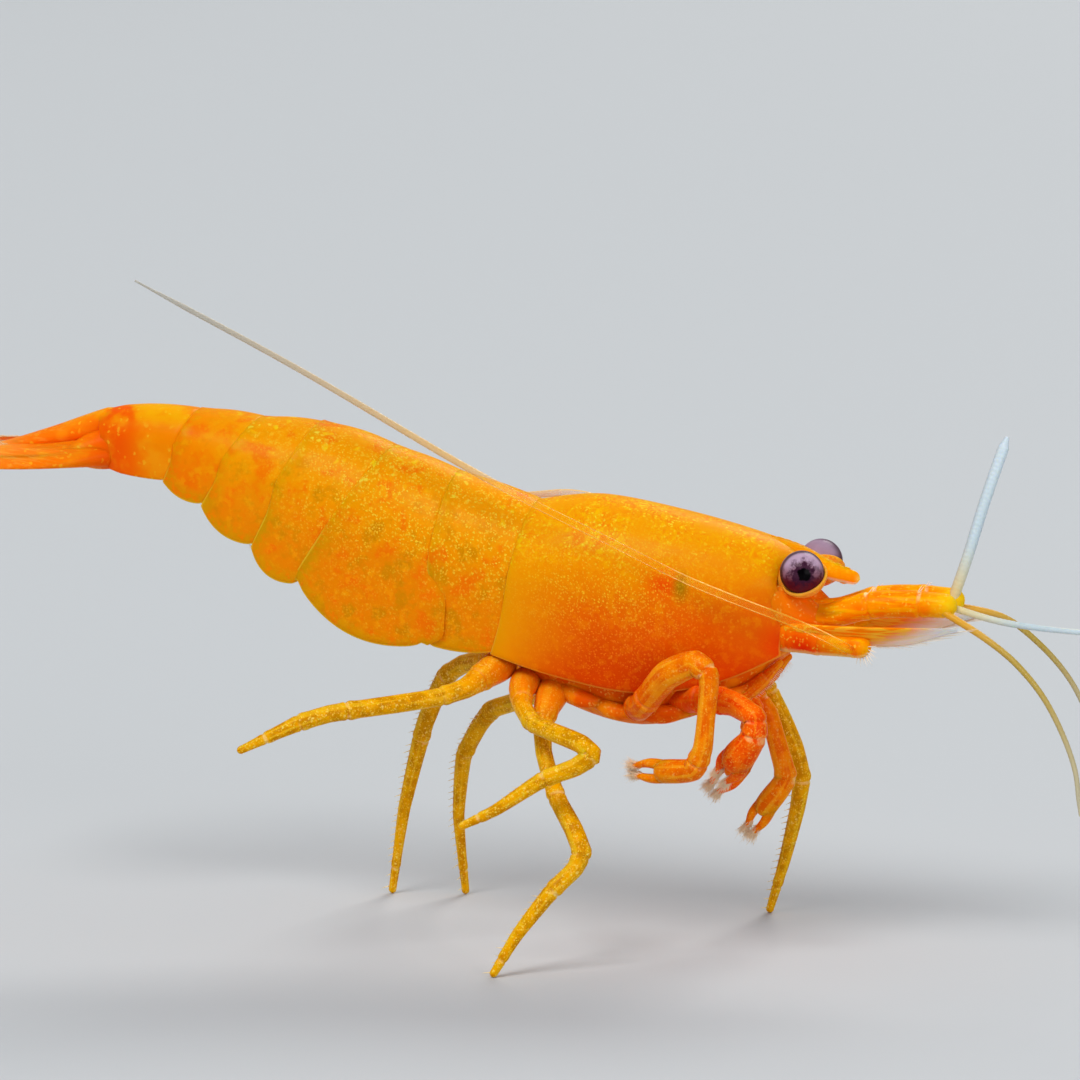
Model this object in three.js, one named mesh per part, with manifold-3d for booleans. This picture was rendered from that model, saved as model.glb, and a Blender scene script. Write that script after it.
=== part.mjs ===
// Aquarium shrimp (dwarf freshwater shrimp, Neocaridina davidi), life size, standing.
// Millimetres, +Z up, head towards +X, the animal's right side towards -Y, floor at Z = 0.
// Every shell plate, limb length, feeler and eye is a closed body in a node of its own.
import * as THREE from "three";
import { LoftGeometry } from "three/addons/geometries/LoftGeometry.js";
import { mergeVertices } from "three/addons/utils/BufferGeometryUtils.js";
import Module from "manifold-3d";

const wasm = await Module();
wasm.setup();

// ---- driving sizes -------------------------------------------------------------------
const FEELER = 0.25; // half thickness of the finest pieces
const PLATE = 0.25; // half thickness of the tail blades and the antennal scales
const JOINT_GAP = 0.06; // clearance between neighbouring pieces
const PLEURON_SKIN = 0.36; // thickness of the side flaps of the abdomen
const CARAPACE_SKIN = 0.4; // thickness of the carapace's lower edge
const DOME_SHARE = 0.5; // share of a section's height taken by its round top
const EDGE_TUCK = 0.14; // how far the flaps lean in at their lower edge, of the half width
const BELLY_LEVEL = 0.7; // height of the belly, as a share of the way from back to edge
const RIM_LEVEL = 0.85; // height of a flap's inner rim, as a share of the way from belly to edge
const EYE_RADIUS = 0.61;
const EYE_CENTRE = [7.64, 1.2, 10.68];
const EYESTALK_ROOT = [6.3, 0.25, 10.45];
const EYESTALK_HALF = [0.3, 0.42]; // half thickness at the root and behind the eye

// Outlines in the animal's middle plane: [x, z] of the back, of the point that bends a
// section forwards or back, and of the lower edge.
const CARAPACE_BACK = [[0.0, 12.28], [1.8, 12.47], [4.2, 12.08], [6.4, 11.52], [7.3, 11.12]];
const CARAPACE_SIDE = [[-0.52, 10.21], [1.6, 10.2], [3.8, 10.0], [5.6, 9.9], [6.5, 10.0]];
const CARAPACE_EDGE = [[-1.05, 8.15], [0.9, 7.62], [3.2, 7.27], [5.4, 7.63], [7.3, 8.5]];
const CARAPACE_HALF_REAR = 1.72;
const CARAPACE_HALF = 1.95;
const CARAPACE_HALF_FRONT = 1.2;
const CARAPACE_WIDEST = 0.35; // where it is widest, as a share of its length from the rear
const CARAPACE_TAPER = 1.8; // how late it narrows towards the front
const CARAPACE_BELLY = 0.94; // where its flat underside lies, back-to-edge share
const CARAPACE_START = 0.006; // clearance to the abdomen, as a share of its length
const CARAPACE_RINGS = 12;
const FRONT_SCALE = 0.72; // size of the ring that rounds off its front end
const FRONT_PUSH = 0.2; // how far that ring stands out
const ROSTRUM_PATH = [[5.6, 0, 11.4], [7.3, 0, 10.98], [8.05, 0, 10.7], [8.93, 0, 10.4]];
const ROSTRUM_HEIGHT = [0.3, 0.32, 0.27, 0.1];
const ROSTRUM_WIDTH = [0.3, 0.25, 0.2, 0.1];

// The seven limits of the six rings of the abdomen, from the carapace to the tail fan:
// [x, z] of the back and of the lower edge, and the half width.
const ABDOMEN_LIMITS = [
  { back: [0.0, 12.28], edge: [-1.05, 8.2], half: 1.72 },
  { back: [-2.15, 12.93], edge: [-2.95, 8.42], half: 1.82 },
  { back: [-4.0, 13.58], edge: [-6.45, 9.95], half: 1.8 },
  { back: [-6.1, 14.2], edge: [-7.87, 10.95], half: 1.65 },
  { back: [-7.87, 14.3], edge: [-9.4, 12.0], half: 1.4 },
  { back: [-9.65, 14.48], edge: [-10.6, 12.57], half: 1.12 },
  { back: [-12.65, 14.42], edge: [-12.3, 12.77], half: 0.8 },
];
const LOBE_DEPTH = [0.12, 0.72, 0.55, 0.36, 0.2, 0.05]; // how far each side flap hangs down
const BACK_HUMP = [0.05, 0.05, 0.1, 0.06, 0.06, 0.12]; // how far each plate's back arches
const LOBE_ROUNDNESS = 0.7; // under 1, a side flap is blunt
const RING_STEPS = 5;

const THORAX_HALF = 1.25;
const THORAX_TOP = 0.97; // the thorax starts here under the carapace, back-to-edge share
const THORAX_DEPTH = 0.5; // how far it hangs below the carapace's edge at its ends
const THORAX_SWELL = 0.72; // what it gains in the middle
const THORAX_REACH = [0.02, 0.93]; // its ends, as shares of the carapace's length
const THORAX_END_WIDTH = 0.7; // width at its ends, as a share of its middle
const THORAX_RINGS = 9;
const THORAX_SIDES = 12;

const colours = {
  shell: 0xff8c0a,
  tail: 0xff7a10,
  limb: 0xe09a12,
  claw: 0xf06a10,
  feeler: 0xd8cfa8,
  eye: 0x3a2a3a,
  stalk: 0xd86a20,
};
const shellMaterial = () => finish(colours.shell, 0.32);
const tailMaterial = () => finish(colours.tail, 0.35);
const limbMaterial = () => finish(colours.limb, 0.38);
const clawMaterial = () => finish(colours.claw, 0.38);
const feelerMaterial = () => finish(colours.feeler, 0.4);
const eyeMaterial = () => finish(colours.eye, 0.12);
const stalkMaterial = () => finish(colours.stalk, 0.4);

function finish(colour, roughness) {
  return new THREE.MeshStandardMaterial({ color: colour, roughness, metalness: 0 });
}

// ---- shape helpers -------------------------------------------------------------------
const { lerp } = THREE.MathUtils;
const group = new THREE.Group();

function add(name, geometry, material) {
  const mesh = new THREE.Mesh(geometry, material);
  mesh.name = name;
  group.add(mesh);
}

const loft = (sections) => new LoftGeometry(sections, { capStart: true, capEnd: true });

// Value of a list of stations at t, from 0 at its first to 1 at its last.
function along(list, t) {
  const place = t * (list.length - 1);
  const i = Math.min(Math.floor(place), list.length - 2);
  return lerp(list[i], list[i + 1], place - i);
}

// A rod or blade along a smooth path, or the part of it between two places, counted in path
// points. Widths run along `across`, heights square to it.
function rod(path, widths, heights, options = {}) {
  const spans = path.length - 1;
  const { across = [0, 1, 0], sides = 7, perSpan = 2, from = 0, to = spans, onFloor = false } = options;
  const curve = new THREE.CatmullRomCurve3(path.map((p) => new THREE.Vector3(...p)), false, "centripetal");
  const steps = Math.round((to - from) * perSpan);
  const sections = [];
  for (let i = 0; i <= steps; i++) {
    const t = lerp(from, to, i / steps) / spans;
    const centre = curve.getPoint(t);
    const forward = curve.getTangent(t);
    const side = new THREE.Vector3(...across).projectOnPlane(forward).normalize();
    const up = new THREE.Vector3().crossVectors(forward, side);
    const section = [];
    for (let k = 0; k < sides; k++) {
      const angle = (k / sides) * 2 * Math.PI;
      const point = centre.clone();
      point.addScaledVector(side, along(widths, t) * Math.cos(angle));
      point.addScaledVector(up, along(heights, t) * Math.sin(angle));
      if (onFloor && i === steps) point.addScaledVector(forward, -point.z / forward.z);
      section.push(point);
    }
    sections.push(section);
  }
  return loft(sections);
}

// One limb or feeler as two lengths that part at a place along its path.
function twoLengths(path, thickness, parting, options = {}) {
  const next = Math.min(Math.floor(parting), path.length - 2);
  const span = new THREE.Vector3(...path[next]).distanceTo(new THREE.Vector3(...path[next + 1]));
  const gap = JOINT_GAP / 2 / span;
  const upper = rod(path, thickness, thickness, { ...options, to: parting - gap, onFloor: false });
  const lower = rod(path, thickness, thickness, { ...options, from: parting + gap });
  return [upper, lower];
}

// One plate's limit has a back and an edge point in the middle plane, and a half width. The
// line between them is straight, or bent by a side point.
const between = (p, q, t) => [lerp(p[0], q[0], t), lerp(p[1], q[1], t)];

function outlineAt(limit, share) {
  if (!limit.side) return between(limit.back, limit.edge, share);
  const upper = between(limit.back, limit.side, share);
  const lower = between(limit.side, limit.edge, share);
  return between(upper, lower, share);
}

// Half of a section: [share of the way from back to edge, share of the half width].
function halfSection(half, skin, belly) {
  const points = [];
  const domeSteps = 5;
  for (let k = 0; k <= domeSteps; k++) {
    const angle = (k / domeSteps) * (Math.PI / 2);
    points.push([DOME_SHARE * (1 - Math.cos(angle)), Math.sin(angle)]);
  }
  const sideSteps = 3;
  for (let k = 1; k <= sideSteps; k++) {
    const part = k / sideSteps;
    points.push([lerp(DOME_SHARE, 1, part), 1 - EDGE_TUCK * part ** 2]);
  }
  const inside = 1 - EDGE_TUCK - skin / half;
  points.push([lerp(belly, 1, RIM_LEVEL), inside]);
  points.push([belly, inside * 0.92]);
  return points;
}

function sectionAt(limit, skin, belly) {
  const place = ([share, width], sign) => {
    const [x, z] = outlineAt(limit, share);
    return new THREE.Vector3(x, sign * width * limit.half, z);
  };
  const half = halfSection(limit.half, skin, belly);
  const left = half.map((p) => place(p, 1));
  const right = half.slice(1).reverse().map((p) => place(p, -1));
  return [...left, place([belly, 0], 1), ...right];
}

// A smaller copy of an end section, pushed along X, which rounds that end.
function closing(section, scale, push) {
  const centre = section.reduce((sum, p) => sum.add(p), new THREE.Vector3()).divideScalar(section.length);
  const shift = new THREE.Vector3(push, 0, 0);
  return section.map((p) => p.clone().sub(centre).multiplyScalar(scale).add(centre).add(shift));
}

// ---- joining and cutting -------------------------------------------------------------
function toSolid(geometry) {
  const bare = new THREE.BufferGeometry();
  bare.setAttribute("position", geometry.attributes.position);
  bare.setIndex(geometry.index);
  const merged = mergeVertices(bare, 1e-4);
  const vertProperties = new Float32Array(merged.attributes.position.array);
  const triVerts = new Uint32Array(merged.index.array);
  return new wasm.Manifold(new wasm.Mesh({ numProp: 3, vertProperties, triVerts }));
}

function toGeometry(solid) {
  const mesh = solid.getMesh();
  const geometry = new THREE.BufferGeometry();
  geometry.setAttribute("position", new THREE.BufferAttribute(new Float32Array(mesh.vertProperties), 3));
  geometry.setIndex(new THREE.BufferAttribute(new Uint32Array(mesh.triVerts), 1));
  geometry.computeVertexNormals();
  return geometry;
}

const joined = (a, b) => toGeometry(toSolid(a).add(toSolid(b)));

function cutBy(geometry, ...tools) {
  return toGeometry(tools.reduce((left, tool) => left.subtract(toSolid(tool)), toSolid(geometry)));
}

// ---- carapace, thorax and rostrum ----------------------------------------------------
function splineThrough(points) {
  return new THREE.SplineCurve(points.map((p) => new THREE.Vector2(...p)));
}
const backLine = splineThrough(CARAPACE_BACK);
const sideLine = splineThrough(CARAPACE_SIDE);
const edgeLine = splineThrough(CARAPACE_EDGE);

function carapaceHalf(t) {
  if (t < CARAPACE_WIDEST) {
    const back = 1 - t / CARAPACE_WIDEST;
    return CARAPACE_HALF - (CARAPACE_HALF - CARAPACE_HALF_REAR) * back ** 2;
  }
  const front = (t - CARAPACE_WIDEST) / (1 - CARAPACE_WIDEST);
  return CARAPACE_HALF - (CARAPACE_HALF - CARAPACE_HALF_FRONT) * front ** CARAPACE_TAPER;
}

function carapaceLimit(t, grow) {
  const back = backLine.getPoint(t).toArray();
  const side = sideLine.getPoint(t).toArray();
  const edge = edgeLine.getPoint(t).toArray();
  back[1] += grow;
  edge[1] -= grow;
  return { back, side, edge, half: carapaceHalf(t) + grow };
}

// The carapace, or a copy of it grown by a clearance that cuts its neighbours.
function carapaceShell(grow) {
  const start = grow ? 0 : CARAPACE_START;
  const sections = [];
  for (let i = 0; i <= CARAPACE_RINGS; i++) {
    const t = lerp(start, 1, i / CARAPACE_RINGS);
    sections.push(sectionAt(carapaceLimit(t, grow), CARAPACE_SKIN, CARAPACE_BELLY));
  }
  sections.reverse();
  return loft([closing(sections[0], FRONT_SCALE, FRONT_PUSH + grow), ...sections]);
}

// The soft underside that carries the legs: it hangs a little below the carapace's edge.
function thoraxBlock(grow) {
  const sections = [];
  for (let i = THORAX_RINGS; i >= 0; i--) {
    const part = i / THORAX_RINGS;
    const t = lerp(...THORAX_REACH, part) + (part - 0.5) * grow * 0.3;
    const swell = Math.sin(Math.PI * part);
    const limit = carapaceLimit(t, 0);
    const [topX, topZ] = outlineAt(limit, THORAX_TOP);
    const hang = limit.back[1] - limit.edge[1];
    const down = THORAX_DEPTH + THORAX_SWELL * swell + grow;
    const lean = ((limit.edge[0] - limit.back[0]) / hang) * down;
    const half = THORAX_HALF * lerp(THORAX_END_WIDTH, 1, swell) + grow;
    const section = [];
    for (let k = 0; k < THORAX_SIDES; k++) {
      const angle = (k / THORAX_SIDES) * 2 * Math.PI;
      const y = half * Math.sin(angle);
      const drop = down * (0.5 - 0.5 * Math.cos(angle));
      section.push(new THREE.Vector3(topX + lean * (drop / down), y, topZ + grow - drop));
    }
    sections.push(section);
  }
  return loft(sections);
}

function buildTrunk() {
  const rostrum = rod(ROSTRUM_PATH, ROSTRUM_WIDTH, ROSTRUM_HEIGHT, { sides: 10 });
  add("carapace", joined(carapaceShell(0), rostrum), shellMaterial());
  add("thorax", cutBy(thoraxBlock(0), carapaceShell(JOINT_GAP)), shellMaterial());
}

// ---- abdomen -------------------------------------------------------------------------
function ringLimit(index, t) {
  const front = ABDOMEN_LIMITS[index];
  const rear = ABDOMEN_LIMITS[index + 1];
  const swell = Math.sin(Math.PI * t);
  const back = between(front.back, rear.back, t);
  back[1] += BACK_HUMP[index] * swell;
  const edge = between(front.edge, rear.edge, t);
  const run = [rear.edge[0] - front.edge[0], rear.edge[1] - front.edge[1]];
  const length = Math.hypot(...run);
  const depth = LOBE_DEPTH[index] * swell ** LOBE_ROUNDNESS;
  edge[0] -= (run[1] / length) * depth;
  edge[1] += (run[0] / length) * depth;
  return { back, edge, half: lerp(front.half, rear.half, t) };
}

function abdomenRing(index) {
  const front = ABDOMEN_LIMITS[index];
  const rear = ABDOMEN_LIMITS[index + 1];
  const gapShare = JOINT_GAP / Math.abs(rear.back[0] - front.back[0]);
  const sections = [];
  for (let i = 0; i <= RING_STEPS; i++) {
    const limit = ringLimit(index, lerp(gapShare, 1 - gapShare, i / RING_STEPS));
    sections.push(sectionAt(limit, PLEURON_SKIN, BELLY_LEVEL));
  }
  return loft(sections);
}

function buildAbdomen() {
  for (let index = 0; index < 6; index++) {
    add(`abdomen_${index + 1}`, abdomenRing(index), index < 5 ? shellMaterial() : tailMaterial());
  }
}

// ---- swimming legs, one pair under each of the first five rings -------------------------
const PLEOPOD_REACH = 0.38; // how far out each leg hangs, as a share of the ring's half width
const PLEOPOD_WIDTHS = [0.2, 0.3, 0.26, 0.26, 0.3, 0.2];
const PLEOPOD_HEIGHTS = [0.16, 0.25, 0.25, 0.25, 0.25, 0.16];

function pleopodPair(index) {
  const spot = (t, share, y) => {
    const [x, z] = outlineAt(ringLimit(index, t), share);
    return [x, y, z];
  };
  const reach = ABDOMEN_LIMITS[index + 1].half * PLEOPOD_REACH;
  const top = BELLY_LEVEL + 0.12;
  const right = [spot(0.86, 0.98, -reach), spot(0.5, 0.9, -reach), spot(0.3, top, -reach * 0.8)];
  const left = right.map(([x, y, z]) => [x, -y, z]).reverse();
  return rod([...right, ...left], PLEOPOD_WIDTHS, PLEOPOD_HEIGHTS, { across: [1, 0, 1.2], sides: 6 });
}

function buildPleopods() {
  for (let index = 0; index < 5; index++) {
    add(`pleopods_${index + 1}`, pleopodPair(index), limbMaterial());
  }
}

// ---- tail fan --------------------------------------------------------------------------
const mirrored = (path) => path.map(([x, y, z]) => [x, -y, z]);
const BODY_SIDES = [["right", (path) => path], ["left", mirrored]];

const TELSON_PATH = [
  [-12.74, 0, 13.98], [-14.1, 0, 13.55], [-15.6, 0, 13.2], [-16.6, 0, 13.02], [-16.9, 0, 12.98],
];
const TELSON_HALF = [0.5, 0.46, 0.38, 0.27, 0.14];
const INNER_UROPOD = [
  [-12.74, -0.4, 13.3], [-13.9, -0.76, 13.14], [-15.4, -0.92, 13.0],
  [-16.7, -0.96, 12.92], [-17.2, -0.96, 12.9],
];
const INNER_HALF = [0.2, 0.32, 0.46, 0.48, 0.26];
const OUTER_UROPOD = [
  [-12.74, -0.66, 12.95], [-13.9, -1.36, 12.9], [-15.3, -1.84, 12.86],
  [-16.8, -2.08, 12.83], [-17.4, -2.12, 12.82],
];
const OUTER_HALF = [0.2, 0.34, 0.46, 0.52, 0.28];
const BLADE_THICKNESS = [PLATE, PLATE, PLATE, PLATE * 0.8, PLATE * 0.5];

function buildTailFan() {
  const ring6 = abdomenRing(5);
  const telson = rod(TELSON_PATH, TELSON_HALF, BLADE_THICKNESS, { sides: 8 });
  add("telson", cutBy(telson, ring6), tailMaterial());
  for (const [side, place] of BODY_SIDES) {
    const inner = rod(place(INNER_UROPOD), INNER_HALF, BLADE_THICKNESS, { sides: 8 });
    const outer = rod(place(OUTER_UROPOD), OUTER_HALF, BLADE_THICKNESS, { sides: 8 });
    add(`uropod_inner_${side}`, inner, tailMaterial());
    add(`uropod_outer_${side}`, outer, tailMaterial());
  }
}

// ---- eyes ------------------------------------------------------------------------------
function buildEyes() {
  for (const [side, place] of BODY_SIDES) {
    const [centre, root] = place(mirrored([EYE_CENTRE, EYESTALK_ROOT]));
    const eye = new THREE.SphereGeometry(EYE_RADIUS, 14, 10);
    eye.translate(...centre);
    const guard = new THREE.SphereGeometry(EYE_RADIUS + JOINT_GAP, 14, 10);
    guard.translate(...centre);
    const stalk = rod([root, centre], EYESTALK_HALF, EYESTALK_HALF, { sides: 9, across: [0, 0, 1] });
    add(`eye_${side}`, eye, eyeMaterial());
    add(`eyestalk_${side}`, cutBy(stalk, guard, carapaceShell(JOINT_GAP)), stalkMaterial());
  }
}

// ---- antennules and antennae -------------------------------------------------------------
const ANTENNULE_PATH = [[6.8, -0.5, 9.72], [8.6, -0.53, 9.66], [10.2, -0.55, 9.84], [11.75, -0.55, 9.76]];
const ANTENNULE_HEIGHT = [0.36, 0.38, 0.37, 0.28];
const ANTENNULE_WIDTH = [0.4, 0.42, 0.38, 0.3];
const SCALE_PATH = [[7.0, -1.3, 9.12], [8.6, -1.48, 9.16], [10.4, -1.5, 9.26], [12.0, -1.32, 9.34]];
const SCALE_WIDTH = [0.25, 0.42, 0.42, 0.16];
const SCALE_HEIGHT = [0.2, 0.2, 0.2, 0.14];
const ANTENNA_PATH = [[6.9, -1.1, 8.72], [8.2, -1.38, 8.6], [9.55, -1.55, 8.62]];
const ANTENNA_WIDTH = [0.34, 0.36, 0.24];
const ANTENNA_HEIGHT = [0.3, 0.3, 0.22];

// The two whips of each antennule, and the long whip of each antenna, as they are held.
const ANTENNULE_WHIPS = {
  right_upper: [[11.86, -0.3, 9.84], [13.0, -0.5, 9.5], [15.2, -1.2, 9.36], [17.4, -1.8, 9.42]],
  right_lower: [
    [11.86, -0.86, 9.66], [12.8, -1.15, 9.05], [13.6, -1.5, 8.45],
    [14.5, -1.9, 7.5], [15.3, -2.25, 5.9], [15.5, -2.4, 4.6],
  ],
  left_upper: [[11.9, 0.3, 9.92], [11.98, 0.55, 10.9], [12.25, 1.1, 12.5], [12.7, 1.6, 14.2]],
  left_lower: [
    [11.86, 0.86, 9.62], [12.8, 1.3, 9.3], [13.5, 1.7, 8.65], [14.4, 2.2, 7.5], [15.2, 2.6, 5.7],
  ],
};
const ANTENNA_WHIPS = {
  right: [
    [9.2, -2.1, 8.75], [8.0, -2.2, 9.33], [5.9, -2.36, 10.1], [4.65, -2.42, 10.58], [2.8, -2.42, 11.42],
    [0.1, -2.25, 12.6], [-1.6, -2.1, 13.4], [-6.2, -2.4, 15.95], [-10.65, -3.0, 18.3],
  ],
  left: [
    [9.2, 2.1, 8.75], [8.0, 2.35, 9.33], [5.9, 2.5, 10.3], [3.2, 2.5, 11.6], [0.6, 2.45, 12.1],
    [-1.4, 2.6, 12.0], [-4.5, 2.9, 12.2], [-8.0, 3.1, 12.9], [-11.2, 3.2, 13.1],
  ],
};
const WHIP_PARTING = 4; // the long whips part above the middle of the carapace

function buildFeelers() {
  const face = carapaceShell(JOINT_GAP);
  for (const [side, place] of BODY_SIDES) {
    const antennule = rod(place(ANTENNULE_PATH), ANTENNULE_WIDTH, ANTENNULE_HEIGHT, { sides: 9 });
    const scale = rod(place(SCALE_PATH), SCALE_WIDTH, SCALE_HEIGHT, { sides: 8 });
    const antenna = rod(place(ANTENNA_PATH), ANTENNA_WIDTH, ANTENNA_HEIGHT, { sides: 8 });
    add(`antennule_${side}`, cutBy(antennule, face), stalkMaterial());
    add(`antennal_scale_${side}`, cutBy(scale, face), stalkMaterial());
    add(`antenna_${side}`, cutBy(antenna, face), stalkMaterial());
  }
  const taper = [FEELER, FEELER, FEELER * 0.8];
  for (const [name, path] of Object.entries(ANTENNULE_WHIPS)) {
    add(`antennule_whip_${name}`, rod(path, taper, taper, { sides: 6 }), feelerMaterial());
  }
  for (const [side, path] of Object.entries(ANTENNA_WHIPS)) {
    const [base, tip] = twoLengths(path, taper, WHIP_PARTING, { sides: 6 });
    add(`antenna_whip_${side}_base`, base, feelerMaterial());
    add(`antenna_whip_${side}_tip`, tip, feelerMaterial());
  }
}

// ---- jaw legs, claw legs and walking legs ------------------------------------------------
// Each leg's path runs from inside the thorax to its tip, with its half thickness at every
// point and the place, just past the knee, where its two lengths part.
const LEGS = {
  claw_leg_1_right: {
    path: [
      [4.1, -0.7, 7.0], [5.2, -1.6, 7.2], [6.0, -2.05, 7.15], [6.65, -2.45, 6.85],
      [6.62, -2.46, 6.35], [6.15, -2.2, 5.75], [5.6, -1.9, 5.15],
    ],
    thick: [0.34, 0.36, 0.36, 0.32, 0.34, 0.5, 0.25],
    knee: 3.4,
  },
  claw_leg_1_left: {
    path: [
      [4.1, 0.7, 7.0], [5.0, 1.3, 6.9], [5.6, 1.6, 6.45],
      [5.66, 1.65, 5.7], [5.15, 1.6, 4.7], [4.6, 1.5, 4.2],
    ],
    thick: [0.34, 0.34, 0.32, 0.36, 0.42, 0.22],
    knee: 2.3,
  },
  claw_leg_2_right: {
    path: [
      [2.6, -0.8, 7.0], [3.3, -1.95, 7.35], [4.3, -2.75, 8.0], [5.15, -3.1, 8.4], [5.55, -3.25, 8.1],
      [5.5, -3.3, 7.0], [5.4, -3.3, 6.1], [5.1, -3.08, 5.5], [4.2, -2.6, 5.32], [3.25, -2.1, 5.25],
    ],
    thick: [0.3, 0.27, 0.27, 0.26, 0.25, 0.25, 0.27, 0.36, 0.42, 0.25],
    knee: 4.25,
  },
  claw_leg_2_left: {
    path: [
      [2.7, 0.8, 6.9], [4.0, 2.2, 7.0], [5.3, 2.4, 6.85], [5.9, 2.42, 6.2], [6.2, 2.45, 5.2],
      [6.4, 2.5, 4.34], [5.92, 2.4, 3.63], [5.44, 2.3, 2.92],
    ],
    thick: [0.3, 0.27, 0.27, 0.26, 0.27, 0.3, 0.33, 0.24],
    knee: 3.2,
  },
  walking_leg_3_right: {
    path: [
      [0.6, -0.7, 7.1], [0.6, -1.5, 6.75], [0.6, -1.95, 6.3], [0.75, -2.4, 5.65], [1.35, -3.3, 4.6],
      [1.98, -3.85, 3.82], [2.28, -4.2, 3.3], [2.16, -4.4, 2.9], [1.59, -4.7, 2.3], [0.73, -5.1, 1.13],
      [0.1, -5.45, 0],
    ],
    thick: [0.36, 0.32, 0.26, 0.25, 0.26, 0.26, 0.26, 0.26, 0.26, 0.25, 0.25],
    knee: 5.4,
    stands: true,
  },
  walking_leg_3_left: {
    path: [
      [0.9, 0.7, 7.0], [2.4, 1.9, 7.1], [4.3, 2.9, 7.2], [5.5, 3.25, 6.95], [6.0, 3.5, 6.0],
      [6.35, 3.85, 5.0], [6.5, 4.1, 4.1], [6.35, 4.3, 3.2], [5.9, 4.7, 1.6], [5.4, 4.9, 0],
    ],
    thick: [0.34, 0.3, 0.27, 0.27, 0.26, 0.26, 0.26, 0.26, 0.25, 0.25],
    knee: 3.7,
    stands: true,
  },
  walking_leg_4_right: {
    path: [
      [-0.2, -0.75, 7.3], [-0.1, -1.6, 7.2], [0.1, -2.25, 6.9], [0.6, -3.0, 6.55], [2.25, -4.0, 6.2],
      [2.54, -4.17, 5.95], [2.15, -4.3, 5.64], [1.3, -4.45, 5.3], [0.0, -4.7, 4.42], [-0.85, -4.9, 4.0],
    ],
    thick: [0.34, 0.3, 0.26, 0.25, 0.25, 0.25, 0.25, 0.25, 0.25, 0.22],
    knee: 5.6,
  },
  walking_leg_4_left: {
    path: [
      [-0.2, 0.75, 7.3], [-0.6, 1.8, 6.6], [-1.6, 2.9, 6.05], [-2.3, 3.4, 5.75], [-2.8, 3.8, 5.2],
      [-3.4, 4.3, 4.2], [-3.7, 4.8, 2.4], [-3.6, 5.2, 0],
    ],
    thick: [0.34, 0.3, 0.26, 0.26, 0.26, 0.26, 0.25, 0.25],
    knee: 3.3,
    stands: true,
  },
  walking_leg_5_right: {
    path: [
      [-0.9, -0.75, 7.75], [-1.1, -1.6, 7.6], [-1.5, -2.3, 7.3], [-2.1, -2.85, 7.12], [-3.0, -3.55, 7.02],
      [-4.65, -4.6, 6.84], [-5.4, -5.0, 6.62], [-6.8, -5.8, 5.95],
    ],
    thick: [0.36, 0.34, 0.28, 0.26, 0.26, 0.26, 0.25, 0.22],
    knee: 4,
  },
  walking_leg_5_left: {
    path: [
      [-0.9, 0.75, 7.75], [-1.7, 1.7, 7.5], [-3.0, 2.8, 7.1], [-3.65, 3.25, 6.65], [-4.4, 3.8, 5.2],
      [-5.2, 4.4, 2.6], [-5.7, 4.8, 0],
    ],
    thick: [0.36, 0.3, 0.27, 0.26, 0.26, 0.25, 0.25],
    knee: 3.2,
    stands: true,
  },
};
const LEG_ACROSS = [0.2, 1, -0.3]; // never along any stretch of a leg

// The third jaw leg of each side, folded under the mouth.
const JAW_LEG = {
  path: [[4.9, -0.35, 6.9], [5.8, -0.6, 6.85], [6.7, -0.62, 7.35], [7.3, -0.6, 8.05]],
  thick: [0.3, 0.28, 0.26, 0.22],
};

function buildLegs() {
  const trunk = [carapaceShell(JOINT_GAP), thoraxBlock(JOINT_GAP)];
  for (const [name, leg] of Object.entries(LEGS)) {
    const material = name.startsWith("claw") ? clawMaterial : limbMaterial;
    const options = { across: LEG_ACROSS, onFloor: leg.stands === true };
    const [upper, lower] = twoLengths(leg.path, leg.thick, leg.knee, options);
    add(`${name}_upper`, cutBy(upper, ...trunk), material());
    add(`${name}_lower`, lower, material());
  }
  for (const [side, place] of BODY_SIDES) {
    const jawLeg = rod(place(JAW_LEG.path), JAW_LEG.thick, JAW_LEG.thick);
    add(`jaw_leg_${side}`, cutBy(jawLeg, ...trunk), limbMaterial());
  }
}

// ---- assembly ----------------------------------------------------------------------------
buildTrunk();
buildAbdomen();
buildPleopods();
buildTailFan();
buildEyes();
buildFeelers();
buildLegs();

// The origin is on the floor, under the middle of the whole model.
const middle = new THREE.Box3().setFromObject(group).getCenter(new THREE.Vector3());
group.position.set(-middle.x, -middle.y, 0);

export default group;
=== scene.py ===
"""Aquarium shrimp (dwarf freshwater shrimp, orange form): the looks of a life-size museum model.

Shapes are worked out in millimetres in the animal's own frame: +X to the head, +Y to its left,
+Z up, floor at Z = 0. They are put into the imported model's frame, in metres, as meshes are made.
"""

import math

import bpy
import bmesh
import numpy as np
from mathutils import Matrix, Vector


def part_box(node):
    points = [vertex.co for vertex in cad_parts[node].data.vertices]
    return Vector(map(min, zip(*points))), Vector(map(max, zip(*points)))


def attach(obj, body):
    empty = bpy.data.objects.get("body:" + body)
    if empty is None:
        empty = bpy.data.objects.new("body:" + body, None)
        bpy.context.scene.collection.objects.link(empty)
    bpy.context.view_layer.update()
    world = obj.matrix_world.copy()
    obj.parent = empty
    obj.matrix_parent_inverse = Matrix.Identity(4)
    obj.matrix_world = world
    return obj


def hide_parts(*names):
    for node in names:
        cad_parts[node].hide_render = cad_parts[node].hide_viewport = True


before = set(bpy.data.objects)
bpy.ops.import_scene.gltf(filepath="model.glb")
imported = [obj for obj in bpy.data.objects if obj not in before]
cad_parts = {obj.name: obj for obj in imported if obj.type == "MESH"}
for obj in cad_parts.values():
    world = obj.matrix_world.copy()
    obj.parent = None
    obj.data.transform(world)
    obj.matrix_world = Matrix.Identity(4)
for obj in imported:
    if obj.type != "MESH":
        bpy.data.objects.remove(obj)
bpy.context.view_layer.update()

MM = 0.001
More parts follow.
